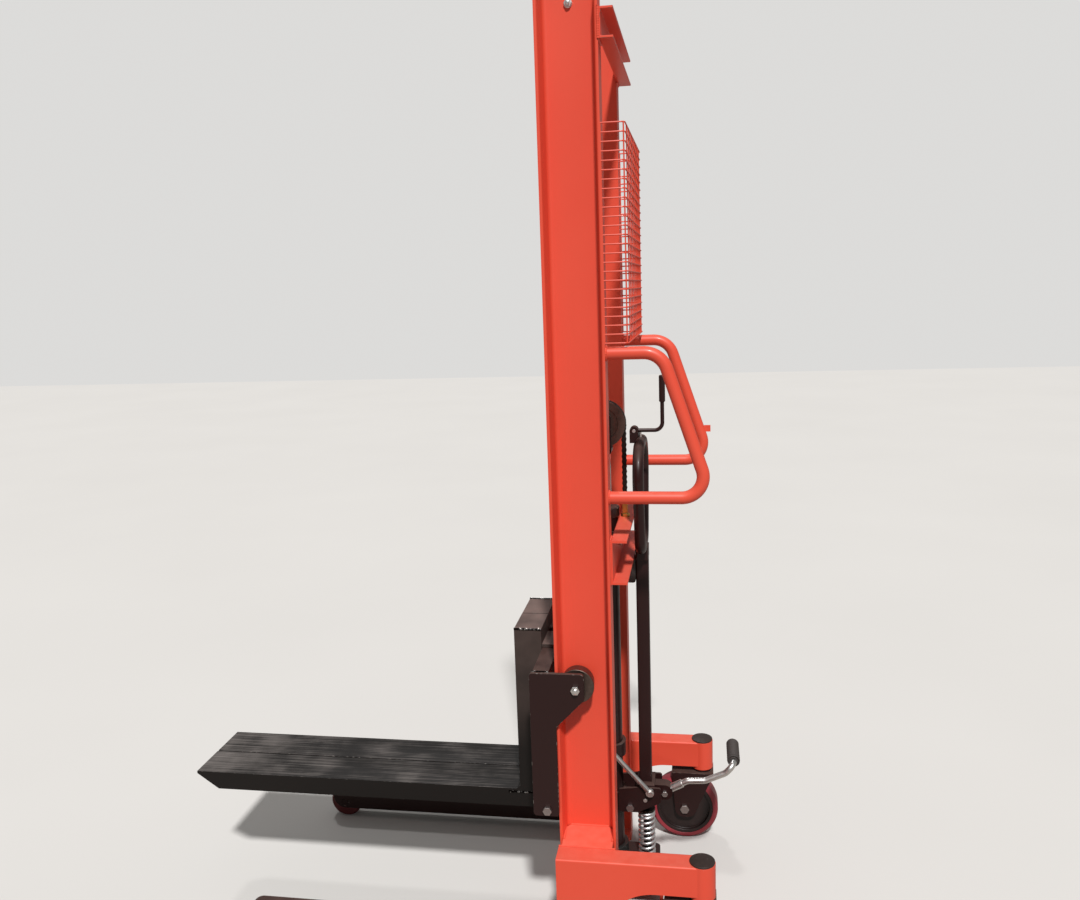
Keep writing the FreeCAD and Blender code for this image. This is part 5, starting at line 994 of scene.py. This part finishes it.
def rail_seams(side):
    """A bead round each end of a handrail."""
    low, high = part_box("handrail_" + side)
    y, radius = (low.y + high.y) / 2, (high.y - low.y) / 2
    return [round_seam((low.x + RAIL_END, y, z), Vector((1, 0, 0)), radius + RAIL_PROUD)
            for z in (low.z + radius, high.z - radius)]


def foot_seams(side, sign):
    """Beads where a channel stands on its foot plates, and where the leg meets the foot."""
    leg_low, leg_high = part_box("leg_" + side)
    web_y, edge_y = sign * (mast_low.y + WEB_T), sign * mast_high.y
    inner_y = leg_low.y if sign > 0 else leg_high.y
    top_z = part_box("base_beam_" + side)[1].z
    rim_z = top_z - PLATE_DROP
    seams = [corners_of([(mast_low.x + ROOT_CLEAR, web_y), (mast_high.x - ROOT_CLEAR, web_y)], z=top_z)]
    slope = [(web_y + sign * ROOT_CLEAR / 2, top_z - SEAM_DROP), (edge_y, rim_z + SEAM_LIFT)]
    for x in (mast_low.x + FLANGE_T, mast_high.x - FLANGE_T):
        seams.append(corners_of(slope, x=x))
    seams.append(corners_of([(mast_low.x, rim_z), (mast_high.x, rim_z)], y=inner_y))
    seams.append(corners_of([(leg_low.y, leg_low.z), (leg_low.y, leg_high.z), (leg_high.y, leg_high.z),
                             (leg_high.y, leg_low.z)], x=leg_high.x))
    return seams


def beam_seams(sign):
    """Beads where the cross beams and the base plate meet the mast."""
    seams = []
    for beam in ("top_beam", "mid_beam"):
        low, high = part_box(beam)
        end_y = sign * high.y
        seams.append(corners_of([(end_y, low.z), (end_y, high.z)], x=low.x))
        for z in (low.z, high.z):
            seams.append(corners_of([(sign * mast_low.y, z), (end_y, z)], x=low.x))
    low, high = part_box("base_plate")
    return seams + [corners_of([(low.x, high.z), (mast_high.x, high.z)], y=sign * high.y)]


frame_seams = [seam for side, sign in SIDES
               for seam in rail_seams(side) + foot_seams(side, sign) + beam_seams(sign)]
weld_along("frame_welds", frame_seams, "frame", "red_paint", "red_paint")

# %% [markdown]
# ## Welds of the carriage and the forks
# Beads run round both bars where they meet the side plates. Each fork is folded from plate and closed by
# welds along the top of the upright's outer side and along the heel, where the upright stands on the
# blade. These beads rub against loads, so they have lost paint. They ride with the carriage, and with the
# fork that slides on its bars.

# %% Carriage and fork welds
BAR_H, BAR_D, BAR_GAP = 40 * MM, 36 * MM, 0.5 * MM
UPRIGHT_D, FORK_H = 64 * MM, 45 * MM
HEEL_L, HEEL_DROP = 92 * MM, 8 * MM
bars_low, bars_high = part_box("carriage_bars")
carriage_seams = []
for side, sign in SIDES:
    plate_low, plate_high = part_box("carriage_plate_" + side)
    plate_y = plate_low.y if sign > 0 else plate_high.y
    x, far_x = bars_low.x, bars_low.x + BAR_D
    for z in (bars_high.z - BAR_H, bars_low.z):
        carriage_seams.append(corners_of([(x, z), (far_x, z), (far_x, z + BAR_H), (x, z + BAR_H), (x, z)],
                                         y=plate_y))
weld_along("carriage_welds", carriage_seams, "carriage", "black_paint", "weld_metal")
for side, sign in SIDES:
    low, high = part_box("fork_" + side)
    rear_x = bars_low.x - BAR_GAP
    heel_z = low.z + FORK_H - HEEL_DROP
    outer_y = low.y if sign < 0 else high.y
    fork_seams = [corners_of([(rear_x - UPRIGHT_D, high.z), (rear_x, high.z)], y=outer_y)]
    for y in (low.y, high.y):
        fork_seams.append(corners_of([(rear_x - HEEL_L, heel_z), (rear_x, heel_z)], y=y))
    weld_along("fork_welds_" + side, fork_seams, body_of_node["fork_" + side], "black_paint", "weld_metal")

# %% [markdown]
# ## Washers and thread ends
# The solids have the hexagons. The stop bolts at the mast's head also show washers, and on them and on
# the upper rollers' axles the thread's end stands out of the nut. Both are small turned shapes, made once
# for a hexagon one unit across. Copies could be set by hand, but a tree that sets them on points with a
# direction serves all.

# %% Fastener shapes and their tree
FASTENER_SIDES = 20
WASHER_PROFILE = [(0, -0.01), (0.6, -0.01), (0.62, 0.02), (0.62, 0.08), (0.59, 0.1), (0.4, 0.1), (0, 0.1)]
THREAD_R, THREAD_L, THREAD_TURNS = 0.3, 0.28, 4


def thread_profile(radius, length, turns):
    """A bolt's end with rounded thread crests and a chamfered tip."""
    rows = [(0, 0)]
    for k in range(turns):
        rows += [(radius * 0.88, length * k / turns), (radius, length * (k + 0.5) / turns)]
    return rows + [(radius * 0.86, length), (radius * 0.6, length * 1.08), (0, length * 1.08)]


def fastener_tree():
    """Sets a shape on each of the host's points, turned to its direction and grown to one size."""
    tree, given = tree_of("fasteners", Shape="Object", Across="Float", Material="Material")
    way = add(tree, "GeometryNodeInputNamedAttribute", {"Name": "way"}, data_type="FLOAT_VECTOR")
    spin = add(tree, "FunctionNodeAlignRotationToVector", {"Vector": way.outputs["Attribute"]}, axis="Z")
    shape = add(tree, "GeometryNodeObjectInfo", {"Object": given["Shape"]})
    points = add(tree, "GeometryNodeMeshToPoints", {"Mesh": given["Geometry"]})
    heads = add(tree, "GeometryNodeInstanceOnPoints",
                {"Points": points.outputs[0], "Instance": shape.outputs["Geometry"],
                 "Rotation": spin.outputs[0], "Scale": given["Across"]})
    close(tree, heads.outputs[0], given["Material"])
    return tree


def spots(name, rows):
    """A mesh of points from (place, direction) pairs."""
    mesh = bpy.data.meshes.new(name)
    mesh.from_pydata([tuple(place) for place, _ in rows], [], [])
    way = mesh.attributes.new("way", "FLOAT_VECTOR", "POINT")
    way.data.foreach_set("vector", [part for _, direction in rows for part in direction])
    return mesh


washer = bpy.data.objects.new("washer", turned("washer", WASHER_PROFILE, FASTENER_SIDES))
thread_rows = thread_profile(THREAD_R, THREAD_L, THREAD_TURNS)
thread_end = bpy.data.objects.new("thread_end", turned("thread_end", thread_rows, FASTENER_SIDES))
fasteners = fastener_tree()
print("faces of a washer", len(washer.data.polygons), "and a thread's end", len(thread_end.data.polygons))

# %% [markdown]
# ## Where the fasteners sit
# A thread's end stands on the outer face of its nut, and a washer lies against the web on either side of
# the mast. Both places follow from the boxes of the carriage plates, the rollers and the mast.

# %% Fasteners
AXLE_NUT, AXLE_NUT_T = 18 * MM, 8 * MM
STOP_HEAD, STOP_HEAD_T = 14 * MM, 6 * MM
stop_x, stop_z = (mast_low.x + mast_high.x) / 2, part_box("frame_pins")[1].z - STOP_HEAD / 2
washers, axle_ends, stop_ends = [], [], []
for side, sign in SIDES:
    outward = Vector((0, sign, 0))
    plate_low, plate_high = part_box("carriage_plate_" + side)
    roller_at = middle_of("mast_roller_" + side)
    nut_seat = Vector((roller_at.x, plate_low.y if sign < 0 else plate_high.y, roller_at.z))
    axle_ends.append((nut_seat + outward * AXLE_NUT_T, outward))
    inside = Vector((stop_x, sign * mast_low.y, stop_z))
    outside = inside + outward * WEB_T
    washers += [(inside, -outward), (outside, outward)]
    stop_ends.append((outside + outward * STOP_HEAD_T, outward))
for kind, body, shape, across, rows in (("washers_", "frame", washer, STOP_HEAD, washers),
                                        ("thread_ends_", "carriage", thread_end, AXLE_NUT, axle_ends),
                                        ("thread_ends_", "frame", thread_end, STOP_HEAD, stop_ends)):
    piece = grow(kind + body, spots(kind + body, rows), fasteners, Shape=shape, Across=across,
                 Material=finish["zinc_steel"])
    settle(piece, body, "zinc_steel")

# %% [markdown]
# ## The floor
# The object stands on a plain pale floor. A white floor under bright light would throw that light back up
# and wash out every underside, so the screed looks pale to the camera and is darker for the light that
# bounces off it.

# %% Floor
FLOOR_HALF = 14.0
CLOUD_MM = 1250.0


def pale_screed():
    """Smooth pale screed, faintly cloudy."""
    material, tree, place = begin("pale_screed")
    cloud = add(tree, "ShaderNodeTexNoise", {"Vector": place, "Scale": 1 / (CLOUD_MM * MM), "Detail": 3.0})
    tone = add(tree, "ShaderNodeMix", {"Factor": cloud.outputs["Fac"], COLOUR_A: linear("#d2cfcb"),
                                       COLOUR_B: linear("#d8d5d1")}, data_type="RGBA")
    seen = add(tree, "ShaderNodeLightPath").outputs["Is Camera Ray"]
    shown = add(tree, "ShaderNodeMix", {"Factor": seen, COLOUR_A: linear("#9c958e"),
                                        COLOUR_B: tone.outputs[COLOUR_OUT]}, data_type="RGBA")
    surface(tree, Base_Color=shown.outputs[COLOUR_OUT], Roughness=0.85)
    return material


corners = [(sx * FLOOR_HALF, sy * FLOOR_HALF, 0) for sx, sy in ((-1, -1), (1, -1), (1, 1), (-1, 1))]
floor = bpy.data.meshes.new("floor")
floor.from_pydata(corners, [], [(0, 1, 2, 3)])
floor.materials.append(pale_screed())
placed("floor", floor)
print("floor", 2 * FLOOR_HALF, "m wide")

# %% [markdown]
# ## The light
# In the photograph the light comes from behind the viewer's right shoulder, fifty degrees up: the
# carriage plate throws a slanted shadow on the mast's web. An area lamp would spread its shadows with
# distance, so a lamp with parallel rays stands there, wide enough for soft edges, and a pale sky fills
# the shadows. A weak lamp behind draws the far outlines. The Standard view shows paint as its own colour,
# where the default view bleaches red.

# %% Light
SUN_WAY, SUN_POWER = Vector((-0.254, 1.0, -1.231)), 3.5
BACK_WAY, BACK_POWER = Vector((0.5, -1.0, -1.8)), 0.4
SUN_WIDTH = math.radians(4)
SKY_LIGHT, SKY_SEEN = 0.26, 0.78
LIT_AT, LAMP_STEPS = Vector((0.3, -0.2, 0.9)), 3


def lamp(name, way, power):
    """A lamp with parallel rays that shines one way at the machine."""
    data = bpy.data.lights.new(name, "SUN")
    data.energy = power
    data.angle = SUN_WIDTH
    turned_to = way.to_track_quat("-Z", "Y").to_matrix().to_4x4()
    placed(name, data).matrix_world = Matrix.Translation(LIT_AT - LAMP_STEPS * way) @ turned_to


lamp("front", SUN_WAY, SUN_POWER)
lamp("back", BACK_WAY, BACK_POWER)
world = bpy.data.worlds.new("studio")
world.use_nodes = True
sky = world.node_tree.nodes["Background"]
sky.inputs["Color"].default_value = linear("#f6f5f3")
seen = add(world.node_tree, "ShaderNodeLightPath").outputs["Is Camera Ray"]
strength = add(world.node_tree, "ShaderNodeMapRange", {"Value": seen, "To Min": SKY_LIGHT,
                                                       "To Max": SKY_SEEN})
world.node_tree.links.new(strength.outputs["Result"], sky.inputs["Strength"])
bpy.context.scene.world = world
bpy.context.scene.view_settings.view_transform = "Standard"
print("lamps", [light.name for light in bpy.data.lights])
